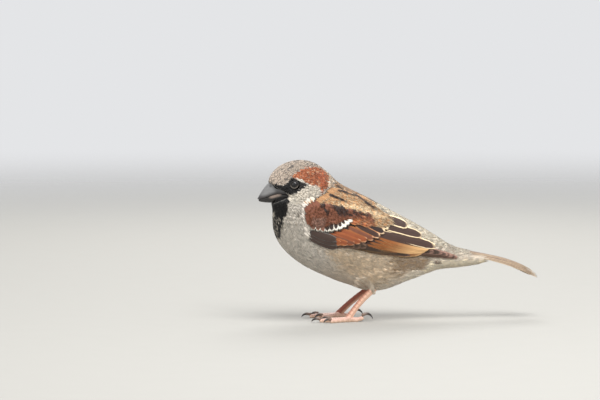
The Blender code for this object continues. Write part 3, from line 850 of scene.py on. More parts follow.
# Length, width, depth and spacing of the coat, from the bill (0) to the tail (15), at the
# back and at the belly
coatAtBack = (
    (1.3, 0.5, 0.35, 0.34), (1.9, 0.6, 0.45, 0.36), (2.6, 0.75, 0.7, 0.4), (3.0, 0.9, 0.9, 0.46),
    (3.6, 1.1, 1.0, 0.54), (4.6, 1.4, 1.1, 0.66), (6.2, 1.8, 1.2, 0.85), (7.4, 2.1, 1.2, 0.95),
    (8.5, 1.7, 1.3, 0.9), (9.0, 1.6, 1.4, 0.85), (9.0, 1.7, 1.5, 0.82), (8.5, 2.1, 1.5, 0.8),
    (8.5, 2.1, 1.3, 0.8), (9.0, 2.1, 1.1, 0.8), (9.0, 2.0, 0.9, 0.8), (9.0, 2.0, 0.8, 0.8),
)
coatAtBelly = (
    (1.3, 0.5, 0.35, 0.34), (1.8, 0.55, 0.45, 0.36), (2.6, 0.7, 0.7, 0.4), (3.8, 0.95, 1.0, 0.5),
    (5.2, 1.3, 1.3, 0.62), (6.4, 1.6, 1.5, 0.7), (7.4, 1.8, 1.7, 0.76), (8.2, 1.9, 1.8, 0.8),
    (8.8, 2.0, 1.9, 0.82), (9.2, 2.0, 2.0, 0.82), (9.2, 2.0, 2.0, 0.82), (8.6, 2.0, 1.8, 0.82),
    (8.4, 2.0, 1.5, 0.82), (9.0, 2.0, 1.2, 0.82), (9.5, 2.0, 0.9, 0.82), (9.5, 2.0, 0.8, 0.82),
)

# Bare ground at the bill from the face's anchor, then from the wing's anchor the vent's loose
# ground and the ground that the folded wing covers
billGround = ((-20, -13), (-11.2, -10.6), (-7.4, -8.6), (-3.4, -6.3), (-3.4, -5.6), (-6.2, -4.0),
              (-9.0, -2.5), (-11.2, -0.7), (-13, 0.2), (-20, 2))
looseGround = ((30, -8), (46, -4), (58, -5), (72, -2), (70, -14), (40, -22), (30, -20))
wingGround = ((0.5, 23), (3.7, 12.8), (12.9, 7.3), (34.9, 4.3), (60.9, 1.6), (82, 0), (67, 10.8),
              (48, 22), (36, 27.8), (25, 32), (8.5, 33.4), (0.5, 28))

# The coat's pieces: slot, from where to where along the bird, and round it from back (0) to
# belly (1), and kind of vane
places = {
    "coat_crown": ("head_feathers", (0, 4.4), (0.0, 0.3), "fine"),
    "coat_face": ("head_feathers", (0, 4.4), (0.3, 1.0), "fine"),
    "coat_neck": ("neck_feathers", (4.4, 7.0), (0.0, 0.5), "soft"),
    "coat_breast": ("neck_feathers", (4.4, 7.6), (0.5, 1.0), "soft"),
    "coat_back": ("body_feathers", (7.0, 10.4), (0.0, 0.5), "soft"),
    "coat_belly": ("body_feathers", (7.6, 11.4), (0.5, 1.0), "soft"),
    "coat_rump": ("rump_feathers", (10.4, 14.6), (0.0, 0.5), "soft"),
    "coat_undertail": ("rump_feathers", (11.4, 14.6), (0.5, 1.0), "soft"),
}
oneSided = ("coat_face", "coat_breast", "coat_belly")
onTop = ("coat_crown", "coat_neck", "coat_back", "coat_rump")
streaky = ("coat_back", "coat_neck")
vary = (0.85, 1.15)                     # how much the feathers' sizes differ
tuftPatch = 0.003                       # how large each tuft is on its piece's baking map
shoulderPatch = 0.012                   # the same for the shoulder's larger feathers
eyeBare = 2.05                          # no feather crosses this ring round the eye
eyeFine = ((2.4, 6.0), (0.5, 1.0))      # feathers shrink from the second distance to the first
coatSpan = (1.0, 12)                    # rings without roots at the bill and at the tail
paintFrom = 0.7                         # how far along a vane its paints are looked up
wingHides = 3.5                         # nothing grows further than this under the folded wing
# Where the coat gives way to the tail's feathers, above and below a line: x back, then z
tailBare = {"top": -14.5, "under": -6.0, "parting": ((-30, 0, 25), (10.5, 10.0, 3.0))}
lap = {"near": -0.5, "front": 2.5, "rise": 0.9, "slope": 0.5, "most": 2.3}
loose = {"edge": (-1.5, 2.5), "lift": (-0.1, 0.9), "turn": 0.12}


def readTable(form, u, table):          # a table of the coat read at any place along the form
    q = np.interp(u, np.arange(len(form.q)), form.q)
    return np.stack([np.interp(q, np.arange(len(table)), column) for column in zip(*table)], -1)


def coatAt(form, u, v):
    belly = ((1 - np.cos(v / len(form.turns) * 2 * math.pi)) / 2)[..., None]
    return readTable(form, u, coatAtBack) * (1 - belly) + readTable(form, u, coatAtBelly) * belly


def scatter(form, first, last, table):  # roots in staggered rows, closer where feathers are small
    around = len(form.turns)
    ring = np.arange(around, dtype=float)
    u, found = first, []
    while u < last:
        spacing = table(form, np.full(around, u), ring)[:, 3]
        mu, mv = form.scale(np.full(around, u), ring)
        step = spacing.mean()
        run = np.concatenate([[0], np.cumsum(mv * step / spacing**2)])
        count = max(int(run[-1]), 6)
        at = (np.arange(count) + dice.uniform(0, 1)) / count * run[-1]
        at = at + dice.uniform(-0.4, 0.4, count)
        v = np.interp(at % run[-1], run, np.arange(around + 1))
        found.append(np.stack([u + dice.uniform(-0.45, 0.45, count) * step / mu.mean(), v], 1))
        u += step / max(mu.mean(), 0.05)
    found = np.concatenate(found)
    return found[(found[:, 0] >= first) & (found[:, 0] < last)]


def notBare(p):                         # False on the eyes' and the bill's bare ground
    eye = np.hypot(p[:, 0] - eyeAt[0], p[:, 2] - eyeAt[1]) > eyeBare
    return eye & (depthInside(billGround, p[:, 0] - faceAt[0], p[:, 2] - faceAt[1]) < 0)


def underWing(p):                       # well inside the ground that the folded wing covers
    return depthInside(wingGround, p[:, 0] - wingAt[0], p[:, 2] - wingAt[1]) > wingHides


def planFrom(u, v, size):
    n = len(u)
    length, width, depth, _ = size.T
    plan = {
        "u": u, "v": v, "heading": dice.normal(0, 0.13, n),
        "length": length * dice.uniform(*vary, n), "low": width / 2 * dice.uniform(*vary, n),
        "bend": dice.normal(0, 0.04, n) * length, "root": -0.5 * depth, "cup": width * 0.05,
        "lift": dice.uniform(-0.08, 0.04, n) * depth, "chance": dice.uniform(0, 1, n),
    }
    plan["high"] = plan["low"]
    return plan


def partWay(surface, plan, share):      # the place a share of the way along each vane
    mu, mv = surface.scale(plan["u"], plan["v"])
    forward = plan["length"] * share
    p, _ = surface.at(plan["u"] + np.cos(plan["heading"]) * forward / mu,
                      plan["v"] + np.sin(plan["heading"]) * forward / mv)
    return p


def keepOff(surface, plan):             # shortens what would lie over an eye or the bill
    for _ in range(7):                  # each time by a fifth
        free = notBare(partWay(surface, plan, 1.02))
        plan["length"] = np.where(free, plan["length"], plan["length"] * 0.8)


def overWing(plan):                     # the breast laps over the wing's front; the vent is loose
    end = partWay(body, plan, 1.0) - (wingAt[0], 0, wingAt[1])
    root = partWay(body, plan, 0.0) - (wingAt[0], 0, wingAt[1])
    inside = depthInside(wingGround, end[:, 0], end[:, 2])
    laps = (inside > lap["near"]) & (root[:, 0] < lap["front"])
    plan["lift"] = plan["lift"] + laps * np.clip(lap["rise"] + lap["slope"] * inside, 0, lap["most"])
    fluffy = smooth(*loose["edge"], depthInside(looseGround, end[:, 0], end[:, 2]))
    plan["lift"] = plan["lift"] + fluffy * dice.uniform(*loose["lift"], len(inside))
    plan["heading"] = plan["heading"] + fluffy * dice.normal(0, loose["turn"], len(inside))


def makeTufts(name, form, plan, vane, slotName, bake):
    plan.update(plumage(partWay(form, plan, paintFrom), dice.uniform(*mottleRange, len(plan["u"]))))
    coat = Coat(name, name in streaky)
    coat.add(form, {**plan, "bake": bake}, blanks[vane], cuts[vane])
    coat.make(finishes[vane], slotName)


def growCoat():
    roots = scatter(body, coatSpan[0], len(body.q) - coatSpan[1], coatAt)
    p, _ = body.at(roots[:, 0], roots[:, 1])
    back = p[:, 0] - tailAt[0]
    above = p[:, 2] - tailAt[1] > np.interp(back, *tailBare["parting"])
    keep = notBare(p) & ~underWing(p) & (back < np.where(above, tailBare["top"], tailBare["under"]))
    roots, p = roots[keep], p[keep]
    q = np.interp(roots[:, 0], np.arange(len(body.q)), body.q)
    turn = (roots[:, 1] / len(body.turns) + 0.5) % 1 - 0.5      # back 0, left under 0, belly 0.5
    spread = abs(turn) * 2
    for name, (slotName, (first, last), (low, high), vane) in places.items():
        here = (q >= first) & (q < last) & (spread >= low) & (spread <= high)
        sides = {"": here}
        if name in oneSided:
            sides = {"_L": here & (turn < 0), "_R": here & (turn >= 0)}
        for ending, there in sides.items():
            u, v = roots[there].T
            size = coatAt(body, u, v)
            near = np.hypot(p[there, 0] - eyeAt[0], p[there, 2] - eyeAt[1])
            size[:, :3] *= np.interp(near, *eyeFine)[:, None]
            plan = planFrom(u, v, size)
            keepOff(body, plan)
            overWing(plan)
            turns = turn[there] if name in onTop else turn[there] % 1
            makeTufts(name + ending, body, plan, vane, slotName, placeOnMap(turns, q[there], tuftPatch))


def placeOnMap(a, b, size):             # two coordinates laid out over the baking map
    at = np.stack([a, b], 1)
    low, high = at.min(0), at.max(0)
    return np.hstack([0.01 + 0.98 * (at - low) / (high - low), np.full(at.shape, size)])


def cellsOnMap(count, wide):            # one roomy cell for each large feather
    high = math.ceil(count / wide)
    i = np.arange(count)
    middle = np.stack([(i % wide + 0.5) / wide, (i // wide + 0.5) / high], 1)
    return np.hstack([middle, np.tile((0.88 / wide, 0.88 / high), (count, 1))])


featherKinds = ("fine", "soft", "quill", "covert")
feathers = {                            # one value for each kind
    "sheen": (0.15, 0.2, 0.05, 0.08), "barbs": (50, 70, 300, 120), "slant": (6, 8, 26, 14),
    "ragged": (900, 500, 500, 500), "base": (0.08, 0.08, 0.02, 0.04), "shaft": (0.1, 0.12, 0.045, 0.05),
    "contrast": (0.03, 0.03, 0.05, 0.04), "spread": (0.3, 0.14, 0.1, 0.14),
    "shaftDark": (0.04, 0.2, 0.35, 0.15), "roughness": (0.85, 0.88, 0.6, 0.72),
    "bump": (0.3, 0.3, 0.45, 0.4), "strands": (4, 7, 14, 9), "strand": (0.3, 0.28, 0.25, 0.3),
    "streaky": (0.25, 0.3, 0.12, 0.3), "rim": (1.0, 1.0, 8.0, 1.5), "point": (0.1, 0.1, 0.75, 0.28),
    "shaftHigh": (0.5, 0.5, 1.2, 0.9), "mottle": (1.0, 0.55, 0.15, 0.35),
    "mottleSize": (1100, 520, 300, 420),
}
finishes = {kind: featherFinish("feather_" + kind, {key: row[i] for key, row in feathers.items()})
            for i, kind in enumerate(featherKinds)}

print("growing the coat")
growCoat()


# The thighs' short feathers end in a ragged cuff at the heel
thighPlan = {
    "rings": ((-22.5, 32.5, 63, 90), (-19.5, 26.5, 63, 90), (-16.8, 21.0, 63, 90), (-14.7, 17.2, 63, 90),
              (-13.4, 14.6, 63, 90)),
    "count": 42, "around": 48, "bored": (), "soften": 3,
}
thighLift = 0.1
coatAtThigh = ((6.0, 1.7, 0.8, 0.8), (4.6, 1.5, 0.7, 0.72), (3.8, 1.2, 0.55, 0.6), (2.8, 0.9, 0.35, 0.45),
               (2.0, 0.8, 0.3, 0.45))


def thighTable(form, u, _):             # the same all round the thigh
    return readTable(form, u, coatAtThigh)


def growThigh(side):
    form = thighs[side]
    u, v = scatter(form, 2.0, len(form.q) - 10.0, thighTable).T
    plan = planFrom(u, v, thighTable(form, u, v))
    plan["lift"] = plan["lift"] + thighLift
    makeTufts(f"coat_thigh_{side}", form, plan, "soft", "thigh_feathers", placeOnMap(v, u, tuftPatch))


print("feathering the thighs")
thighs = {}
for side in sideSign:
    node = f"thigh_{side}"
    thighs[side] = Form({**thighPlan, "solids": (node,)}, middleOf(node)[1])
    growThigh(side)


# The skin lies under the coat by the coat's depth and joins body and thighs in one
skin = {"voxel": 0.55, "under": 0.9, "thighUnder": 0.45, "rings": 214, "billDrop": 1.0}


def skinFinish():
    f = Finish("skin_down", Roughness=0.9)
    streak = f.noise(1.0, 3.0, f.stretch(f.place(), 400, 900, 900))
    # The plumage's paint is made darker on the skin: the down's own grey, and painted shade under the coat
    return f.finish(f.lighten(f.named("web"), 0.75 + streak * 0.5), None, streak, 0.4, 0.0003)


def corners(rows, around):              # the four corners of each quad from one ring to the next
    i, k = np.meshgrid(np.arange(rows), np.arange(around), indexing="ij")
    a, b = i * around + k, i * around + (k + 1) % around
    return a, b, b + around, a + around


def ringFaces(rows, around):            # quads between rings, and the two ends closed
    quads = np.stack(corners(rows - 1, around), -1).reshape(-1, 4).tolist()
    return quads + [list(range(around))[::-1], list(range((rows - 1) * around, rows * around))]


def skinGrid(form):
    if form is not body:
        return form.p - form.n * skin["thighUnder"]
    grid = form.p[:skin["rings"]]
    u, v = np.meshgrid(np.arange(grid.shape[0]), np.arange(grid.shape[1]), indexing="ij")
    depth = coatAt(form, u.astype(float), v.astype(float))[..., 2] * skin["under"]
    flat = grid.reshape(-1, 3)
    bill = depthInside(billGround, flat[:, 0] - faceAt[0], flat[:, 2] - faceAt[1]).reshape(depth.shape)
    depth = depth + skin["billDrop"] * smooth(-0.6, 0.6, bill)
    return grid - form.n[:skin["rings"]] * depth[..., None]


def makeSkin():
    points, faces, start = [], [], 0
    for form in (body, *thighs.values()):
        grid = skinGrid(form)
        points.append(grid.reshape(-1, 3))
        faces += [[start + i for i in face] for face in ringFaces(*grid.shape[:2])]
        start += len(points[-1])
    mesh = bpy.data.meshes.new("skin_parts")
    mesh.from_pydata((np.concatenate(points) * mm).tolist(), [], faces)
    obj = placed("skin", mesh)
    remesh = obj.modifiers.new("one skin", "REMESH")
    remesh.mode = "VOXEL"
    remesh.voxel_size = skin["voxel"] * mm
    whole = bpy.data.meshes.new_from_object(obj.evaluated_get(bpy.context.evaluated_depsgraph_get()))
    obj.modifiers.clear()
    obj.data = whole
    whole.shade_smooth()
    whole.materials.clear()
    whole.materials.append(skinFinish())
    co = np.zeros(len(whole.vertices) * 3, np.float32)
    whole.vertices.foreach_get("co", co)
    setPaint(obj, "web", plumage(co.reshape(-1, 3).astype(float) / mm)["web"])
    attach(obj, "root")
    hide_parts("head", "neck", "trunk", "rump", "thigh_L", "thigh_R")
    print(f"  skin: {len(whole.polygons)} faces")


print("making the skin")
makeSkin()


# The folded wing, in rows. Roots and tips are in the wing's own place: back from its front,
# and up from its tip. Low and high are the half widths of each feather's two webs.
primaryRow = {
    "count": 7, "roots": ((22, 8.2), (40, 7.0)),
    "tips": ((55.5, 3.4), (66, 4.4), (74, 3.6), (78.5, 2.2), (82.6, 0.9)),
    "low": 1.3, "high": 3.2, "lift": (0.0, -0.5), "rootLift": (-0.5, -0.8), "cup": 0.08, "vane": "quill",
    "cut": "quill", "bend": -0.25, "web": "primary", "outer": "primaryEdge", "outerEnd": "primary",
    "margin": "primary", "tip": "mauvePale", "edgeAt": 0.9, "tipAt": 0.96, "reverse": True,
}
secondaryRow = {
    "count": 6, "roots": ((25, 8.0), (36, 14.0)), "tips": ((60.5, 3.6), (65.5, 6.2)), "low": 2.1,
    "high": 3.6, "lift": (0.0, 0.5), "rootLift": (-0.6, -0.1), "vane": "quill", "cut": "quill", "cup": 0.06,
    "bend": -0.4, "web": "umberDark",
    "outer": ("umberDark", "primaryEdge", "panel", "panel", "panel", "panel"),
    "outerEnd": ("umber", "panel", "panelEnd", "panelEnd", "panelEnd", "panelEnd"),
    "margin": "panelEnd", "edgeAt": 0.94, "tipAt": 0.965,
}
tertialRow = {
    "count": 3, "roots": ((36.4, 15.6), (37.4, 19.4), (38.4, 23.2)),
    "tips": ((69.3, 6.7), (61.7, 12.5), (53.8, 17.7)), "low": 2.4, "high": 2.7, "lift": (0.7, 0.95),
    "rootLift": (-0.1, 0.3), "cup": 0.1, "vane": "quill", "cut": "round", "bend": 0.5, "web": "umberDark",
    "outer": "umberDark", "outerEnd": "umberDark", "margin": "cream", "tip": "cream", "edgeAt": 0.74,
    "tipAt": 0.97,
}
coverRows = (
    {                                   # primary coverts
        "count": 5, "roots": ((3, 13.6), (16, 12.5)), "tips": ((19, 8.6), (31, 8.4)), "low": 1.8,
        "high": 2.2, "lift": (0.25, 0.5), "rootLift": (-0.4, -0.1), "cup": 0.08, "vane": "covert",
        "cut": "round", "bend": -0.2, "web": "primaryCovert", "margin": "earth", "edgeAt": 0.74,
        "tipAt": 0.95,
    },
    {                                   # greater coverts
        "count": 9,
        "roots": ((4.5, 14.6), (12, 15.6), (22, 19.5), (31, 24.2)),
        "tips": ((17.5, 10.4), (24.5, 10.3), (31, 11.8), (38, 13.4), (43.2, 17.8)),
        "low": 2.1, "high": 2.3, "lift": (0.5, 1.0), "rootLift": (-0.1, 0.4), "cup": 0.1, "vane": "covert",
        "cut": "round", "bend": -0.2,
        "web": ("chestnutBright", "russet", "lesser", "russet", "russet", "lesser", "umberDark", "bark",
                "bark"),
        "margin": ("orange", "chestnutBright", "chestnutBright", "panel", "orange", "fawn"),
        "edgeAt": (0.6, 0.5, 0.45, 0.4, 0.42, 0.5, 0.6, 0.64, 0.66),
        "tipAt": (1.12, 1.1, 1.06, 1.02, 1.0, 0.98), "tip": ("fawn", "fawn", "fawn", "cream"),
    },
    {                                   # the alula
        "count": 3, "roots": ((1.6, 16.4), (1.2, 13.2)), "tips": ((15.0, 12.2), (15.6, 8.2)), "low": 2.0,
        "high": 2.4, "lift": (1.1, 0.7), "rootLift": (0.5, 0.2), "cup": 0.1, "vane": "covert",
        "cut": "round", "bend": -0.3, "web": "alula", "margin": "slate", "edgeAt": 0.84, "tipAt": 1.05,
    },
    {                                   # median coverts, the last ones white at their ends
        "count": 10,
        "roots": ((2.4, 22.4), (9.5, 21.8), (16.4, 23.4), (20.5, 26.4)),
        "tips": ((3.6, 17.0), (8.8, 15.9), (13.6, 16.3), (18.6, 17.6), (22.8, 20.4)),
        "low": 1.45, "high": 1.45, "lift": (1.1, 1.3), "rootLift": 0.4, "cup": 0.1, "vane": "split",
        "cut": "split", "bend": 0.0,
        "web": ("mauve", "mauve", "mauve", "bark", "bark", "bark", "bark", "bark", "umberDark", "lesser"),
        "margin": ("mauve", "mauve", "mauve", "bark", "white", "white", "white", "white", "white", "white"),
        "edgeAt": (0.9, 0.9, 0.9, 0.9, 0.8, 0.72, 0.66, 0.6, 0.5, 0.4),
        "tipAt": (0.92, 0.9, 0.9, 0.86, 0.84, 0.78, 0.72, 0.66, 0.58, 0.5),
        "tip": "white",
    },
)

varyWing = (0.94, 1.06)                 # how much a wing feather's width differs
wingPieces = (                          # name, rows, finish, slot and CAD node
    ("primaries", (primaryRow,), "quill", "primary_feathers", "primaries"),
    ("secondaries", (secondaryRow, tertialRow), "quill", "tertial_feathers", "tertials"),
    ("coverts", coverRows, "covert", "covert_feathers", "coverts"),
)


def alongRow(value, n):                 # one value for all, or several spread over the row
    if isinstance(value, str):
        value = (value,)
    if isinstance(value, tuple):
        rows = np.array([paints[v] if isinstance(v, str) else (v,) for v in value], float)
        at = np.linspace(0, 1, n)
        known = np.linspace(0, 1, len(rows))
        rows = np.stack([np.interp(at, known, rows[:, k]) for k in range(rows.shape[1])], 1)
        return rows if rows.shape[1] > 1 else rows[:, 0]
    return np.full(n, value)


def headingOf(roots, tips):
    return np.arctan2(tips[:, 1] - roots[:, 1], tips[:, 0] - roots[:, 0])


def rowPlan(row):
    n = row["count"]
    roots, tips = spline(row["roots"], n), spline(row["tips"], n)
    lift, rise = np.linspace(*row["lift"], n), alongRow(row["rootLift"], n)
    if row.get("reverse"):              # the outermost lies lowest in the fold
        roots, tips, lift, rise = roots[::-1], tips[::-1], lift[::-1], rise[::-1]
    ones = np.ones(n)
    plan = {
        "u": roots[:, 0] + wingAt[0], "v": roots[:, 1] + wingAt[1], "heading": headingOf(roots, tips),
        "length": np.hypot(*(tips - roots).T), "low": row["low"] * dice.uniform(*varyWing, n),
        "high": row["high"] * dice.uniform(*varyWing, n), "bend": row["bend"] * ones,
        "root": rise, "lift": lift, "cup": row["cup"] * ones, "chance": dice.uniform(0, 1, n),
        "edgeAt": alongRow(row["edgeAt"], n) + dice.uniform(-0.03, 0.03, n),
        "tipAt": alongRow(row["tipAt"], n),
    }
    row = {"tip": row["margin"], **row, "down": row["web"]}
    for key in (*layers, "outer", "outerEnd"):
        if key in row:
            plan[key] = alongRow(row[key], n)
    return plan


def makeRows(name, rows, finish, surface, slotName, node):
    coat = Coat(name)
    plans = [rowPlan(row) for row in rows]
    total = sum(row["count"] for row in rows)
    cells = cellsOnMap(total, math.ceil(math.sqrt(total * 3)))
    start = 0
    for row, plan in zip(rows, plans):
        plan["bake"] = cells[start:start + row["count"]]
        start += row["count"]
        coat.add(surface, plan, blanks[row["vane"]], cuts[row["cut"]])
    coat.make(finishes[finish], slotName, node)


# Small feathers of the shoulder, and longer ones that run from the back over the folded wing
shoulderBeds = (
    {
        "ground": ((0.4, 27.5), (0.6, 20.5), (4, 19.0), (9, 19.2), (16, 20.8), (22, 22.6), (34, 21.5),
                   (36, 21.5), (33, 23.8), (24, 26.4), (18.4, 28), (11.4, 29.2), (7, 30.6), (3.4, 29.6)),
        "spacing": 1.05, "heading": ((0, 12, 31, 46), (-64, -46, -28, -24)),
        "length": ((0, 12, 40), (4.4, 6.2, 7.5)), "half": ((0, 12, 40), (0.8, 1.0, 1.1)), "lift": 1.3,
        "root": 0.6, "over": 0.0, "paints": ("lesser", "lesser", "lesserTip", "umber"), "edgeAt": 0.7,
        "tipAt": 0.9,
    },
    {
        "ground": ((5.5, 30.6), (9, 32.4), (13.5, 34.8), (16, 37), (25, 34.4), (36, 30), (38.5, 27),
                   (43, 23.6), (46, 20.5), (44, 18.6), (40, 18.4), (31, 19.2), (24, 20.6), (27, 23.4),
                   (24, 26.4), (18.4, 28), (11.4, 29.2)),
        "spacing": 1.15, "heading": ((0, 12, 31, 46), (-30, -28, -26, -24)),
        "length": ((0, 14, 40), (4.2, 6.2, 10.0)), "half": ((0, 14, 40), (0.7, 0.9, 1.1)), "lift": 1.15,
        "root": 0.5, "over": -1.2, "paints": ("buff", "buffPale", "cream", "umber"), "edgeAt": 0.74,
        "tipAt": 0.92,
    },
)
shoulderPatches = {
    "pale band": {
        "from": "wing", "soft": 0.8, "paints": ("buffPale", "cream"), "edgeAt": 0.6, "tipAt": 0.8,
        "outline": ((16.5, 30.2), (26, 29.8), (34, 27.2), (43, 22.6), (36, 22.8), (28, 26.2), (22, 28.2)),
    },
    "orange": {
        "from": "wing", "soft": 0.7, "paints": ("chestnutBright", "orange"), "tip": "fawn", "edgeAt": 0.5,
        "tipAt": 0.93,
        "outline": ((22.5, 23), (31.5, 23.0), (36, 19.6), (30, 17), (23, 18.6)),
    },
    "mauve": {
        "from": "wing", "soft": 0.6, "paints": ("mauve", "mauvePale"), "edgeAt": 0.55, "tipAt": 0.86,
        "outline": ((2.5, 23.9), (9.2, 22.8), (9, 18.2), (3, 18.2)),
    },
    "first dark": {
        "from": "wing", "soft": 0.2, "paints": ("bark", "bark"), "tip": "lesser", "edgeAt": 0.9,
        "tipAt": 0.97, "outline": ((6.2, 30.6), (9.0, 29.8), (13.0, 25.0), (10.4, 24.6)),
    },
    "second dark": {
        "from": "wing", "soft": 0.2, "paints": ("bark", "bark"), "tip": "lesser", "edgeAt": 0.9,
        "tipAt": 0.97,
        "outline": ((13.0, 29.2), (18.8, 29.0), (23.4, 24.4), (18.4, 23.8), (15.0, 26.2)),
    },
    "third dark": {
        "from": "wing", "soft": 0.2, "paints": ("bark", "bark"), "tip": "chestnut", "edgeAt": 0.85,
        "tipAt": 0.95, "outline": ((22.4, 26.4), (27, 26.4), (34.0, 24.0), (28.2, 22.8)),
    },
}


def shoulderBed(bed):
    rows = []                           # staggered rows of roots over the bed
    ground = np.array(bed["ground"])
    low, high = ground.min(0), ground.max(0)
    step = bed["spacing"]
    for i, h in enumerate(np.arange(low[1], high[1] + 6, step * 0.87)):
        for a in np.arange(low[0] - 9 + (i % 2) * step / 2, high[0], step):
            rows.append((a, h))
    at = np.array(rows) + dice.uniform(-0.3, 0.3, (len(rows), 2)) * step
    n = len(at)
    heading = np.radians(np.interp(at[:, 0], *bed["heading"])) + dice.normal(0, 0.08, n)
    length = np.interp(at[:, 0], *bed["length"]) * dice.uniform(*vary, n)
    middle = at + np.stack([np.cos(heading), np.sin(heading)], 1) * (length * 0.72)[:, None]
    rooted = depthInside(bed["ground"], *at.T) > bed["over"] - 2.5
    keep = rooted & (depthInside(bed["ground"], *middle.T) > 0)
    at, heading, length, middle = at[keep], heading[keep], length[keep], middle[keep]
    n = len(at)
    half = np.interp(at[:, 0], *bed["half"]) * dice.uniform(*vary, n)
    look = evenPaint(n, *bed["paints"])
    look["edgeAt"], look["tipAt"] = np.full(n, bed["edgeAt"]), np.full(n, bed["tipAt"])
    layPatches(look, shoulderPatches, *(middle + wingAt).T, dice.uniform(*mottleRange, n))
    return {
        "u": at[:, 0] + wingAt[0], "v": at[:, 1] + wingAt[1], "heading": heading, "length": length,
        "low": half, "high": half, "bend": dice.normal(0, 0.15, n), "root": np.full(n, bed["root"]),
        "lift": bed["lift"] + dice.uniform(-0.04, 0.04, n), "cup": half * 0.03,
        "chance": dice.uniform(0, 1, n), "bake": placeOnMap(*at.T, shoulderPatch), **look,
    }


def growShoulder(side):
    coat = Coat(f"shoulder_{side}", True)
    for bed in shoulderBeds:
        coat.add(drapes[side], shoulderBed(bed), blanks["broad"], cuts["broad"])
    coat.make(finishes["covert"], "covert_feathers")


print("laying the wings")
for side in sideSign:
    for name, rows, finish, slotName, part in wingPieces:
        makeRows(f"{name}_{side}", rows, finish, drapes[side], slotName, f"wing_{part}_{side}")
    growShoulder(side)


# Twelve tail feathers, the outermost lowest in the fold
tailFan = {
    "count": 12, "root": -15.0, "tip": 28.4, "notch": 1.6, "first": 1.1, "spread": 1.45, "rootSpread": 0.55,
    "half": 3.1, "outer": 1.7, "lift": -0.32, "rootLift": -0.5, "bend": 0.3, "cup": 0.3, "edgeAt": 0.74,
    "tipAt": 0.97,
}


def makeTail():
    fan = tailFan
    i = np.arange(fan["count"] // 2)[::-1]              # the outermost first
    n = len(i)
    coat = Coat("tail_fan")
    cells = cellsOnMap(fan["count"], fan["count"])
    for sign in (-1, 1):
        roots = np.stack([np.full(n, fan["root"]), sign * fan["rootSpread"] * (i + 0.5)], 1)
        tipX = fan["tip"] - fan["notch"] * np.clip(1 - i / 3, 0, 1)
        tips = np.stack([tipX, sign * (fan["first"] + fan["spread"] * i)], 1)
        ones = np.ones(n)
        plan = {
            "u": roots[:, 0] + tailAt[0], "v": roots[:, 1], "heading": headingOf(roots, tips),
            "length": np.hypot(*(tips - roots).T), "low": (fan["half"] if sign > 0 else fan["outer"]) * ones,
            "high": (fan["outer"] if sign > 0 else fan["half"]) * ones, "bend": sign * fan["bend"] * ones,
            "root": fan["rootLift"] * ones, "lift": fan["lift"] * (i + (0.5 if sign > 0 else 0)),
            "cup": fan["cup"] * ones, "chance": dice.uniform(0, 1, n), "edgeAt": fan["edgeAt"] * ones,
            "tipAt": fan["tipAt"] * ones, "bake": cells[:n] if sign < 0 else cells[n:],
        }
        plan.update(evenPaint(n, "tail", "tailEdge", "tailEdge", "tail"))
        coat.add(tailTop, plan, blanks["quill"], cuts["quill"])
    coat.make(finishes["quill"], "tail_feathers", "tail")


print("fanning the tail")
makeTail()


def closedGrid(grid):                   # rings of points as triangles, with both ends closed
    rows, around = grid.shape[:2]
    a, b, c, d = corners(rows - 1, around)
    sides = [np.stack([a, b, c], -1), np.stack([a, c, d], -1)]
    k, last = np.arange(around), (rows - 1) * around
    ends = np.full(around, rows * around)
    after = (k + 1) % around
    caps = [np.stack([ends, after, k], 1), np.stack([ends + 1, last + k, last + after], 1)]
    points = np.vstack([grid.reshape(-1, 3), grid[0].mean(0), grid[-1].mean(0)])
    faces = np.vstack([part.reshape(-1, 3) for part in sides + caps])
    p = points[faces] - points.mean(0)
    volume = (np.cross(p[:, 0], p[:, 1]) * p[:, 2]).sum()
    return points, faces if volume > 0 else faces[:, ::-1]


class Horny:                            # bill, eyes, legs and claws: closed forms in one mesh
    def __init__(self, name):
        self.name = name
        self.points, self.faces, self.paint = [], [], []

    def add(self, grid, colours):
        points, faces = closedGrid(grid)
        self.faces.append(faces + sum(len(p) for p in self.points))
        self.points.append(points)
        self.paint.append(np.vstack([colours.reshape(-1, 3), colours[0].mean(0), colours[-1].mean(0)]))

    def make(self, finish, slotName, *nodes):
        obj = meshPiece(self.name, np.vstack(self.points), np.vstack(self.faces), finish)
        setPaint(obj, "web", np.vstack(self.paint))
        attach(obj, "root")
        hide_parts(*nodes)
        print(f"  {self.name}: {len(obj.data.polygons)} faces")


def blendPaint(first, second, share):
    return first + (second - first) * share[..., None]


# The bill, measured back from its tip. Widths are half of it at the mouth line.
billAt = faceAt + (-18.3, -8.6)
bill = {
    "depth": 13.2, "culmenRise": 10.9, "culmenCurve": 2.4, "gonysDrop": 1.7, "blunt": 0.5, "back": 16.4,
    "half": ((0, 0.35), (1.2, 1.35), (3.7, 2.6), (6.7, 3.8), (9.7, 4.9), (12.7, 6.3), (16.4, 7.2)),
    "gonysCurve": 5, "crownPower": 0.88, "lowerWidth": 0.92, "lowerTip": 0.7, "gap": 0.05,
    "nostril": (6.4, 7.2, 0.55, 0.4, 0.45),     # back, up, half length, half height, depth
    "paleBase": ((5.0, 12.5), 1.7),             # from and to, and how deep
    "rings": 64, "packing": 1.35, "overArc": 32, "overMouth": 8, "dark": (7.5, 10.5), "tipReach": 4.0,
}


def hornFinish(name, streaks, roughness, strength):
    f = Finish(name, **{"Coat Weight": 0.35, "Coat Roughness": 0.25, "IOR": 1.5})
    grain = f.noise(1.0, 3.0, f.stretch(f.place(), *streaks))
    wear = f.noise(900, 3.0, f.place())
    colour = f.lighten(f.named("web"), 1 + grain * 0.35 + wear * 0.2)
    return f.finish(colour, roughness + grain * 0.2 + wear * 0.15, grain + wear * 0.4, strength, 0.00008)


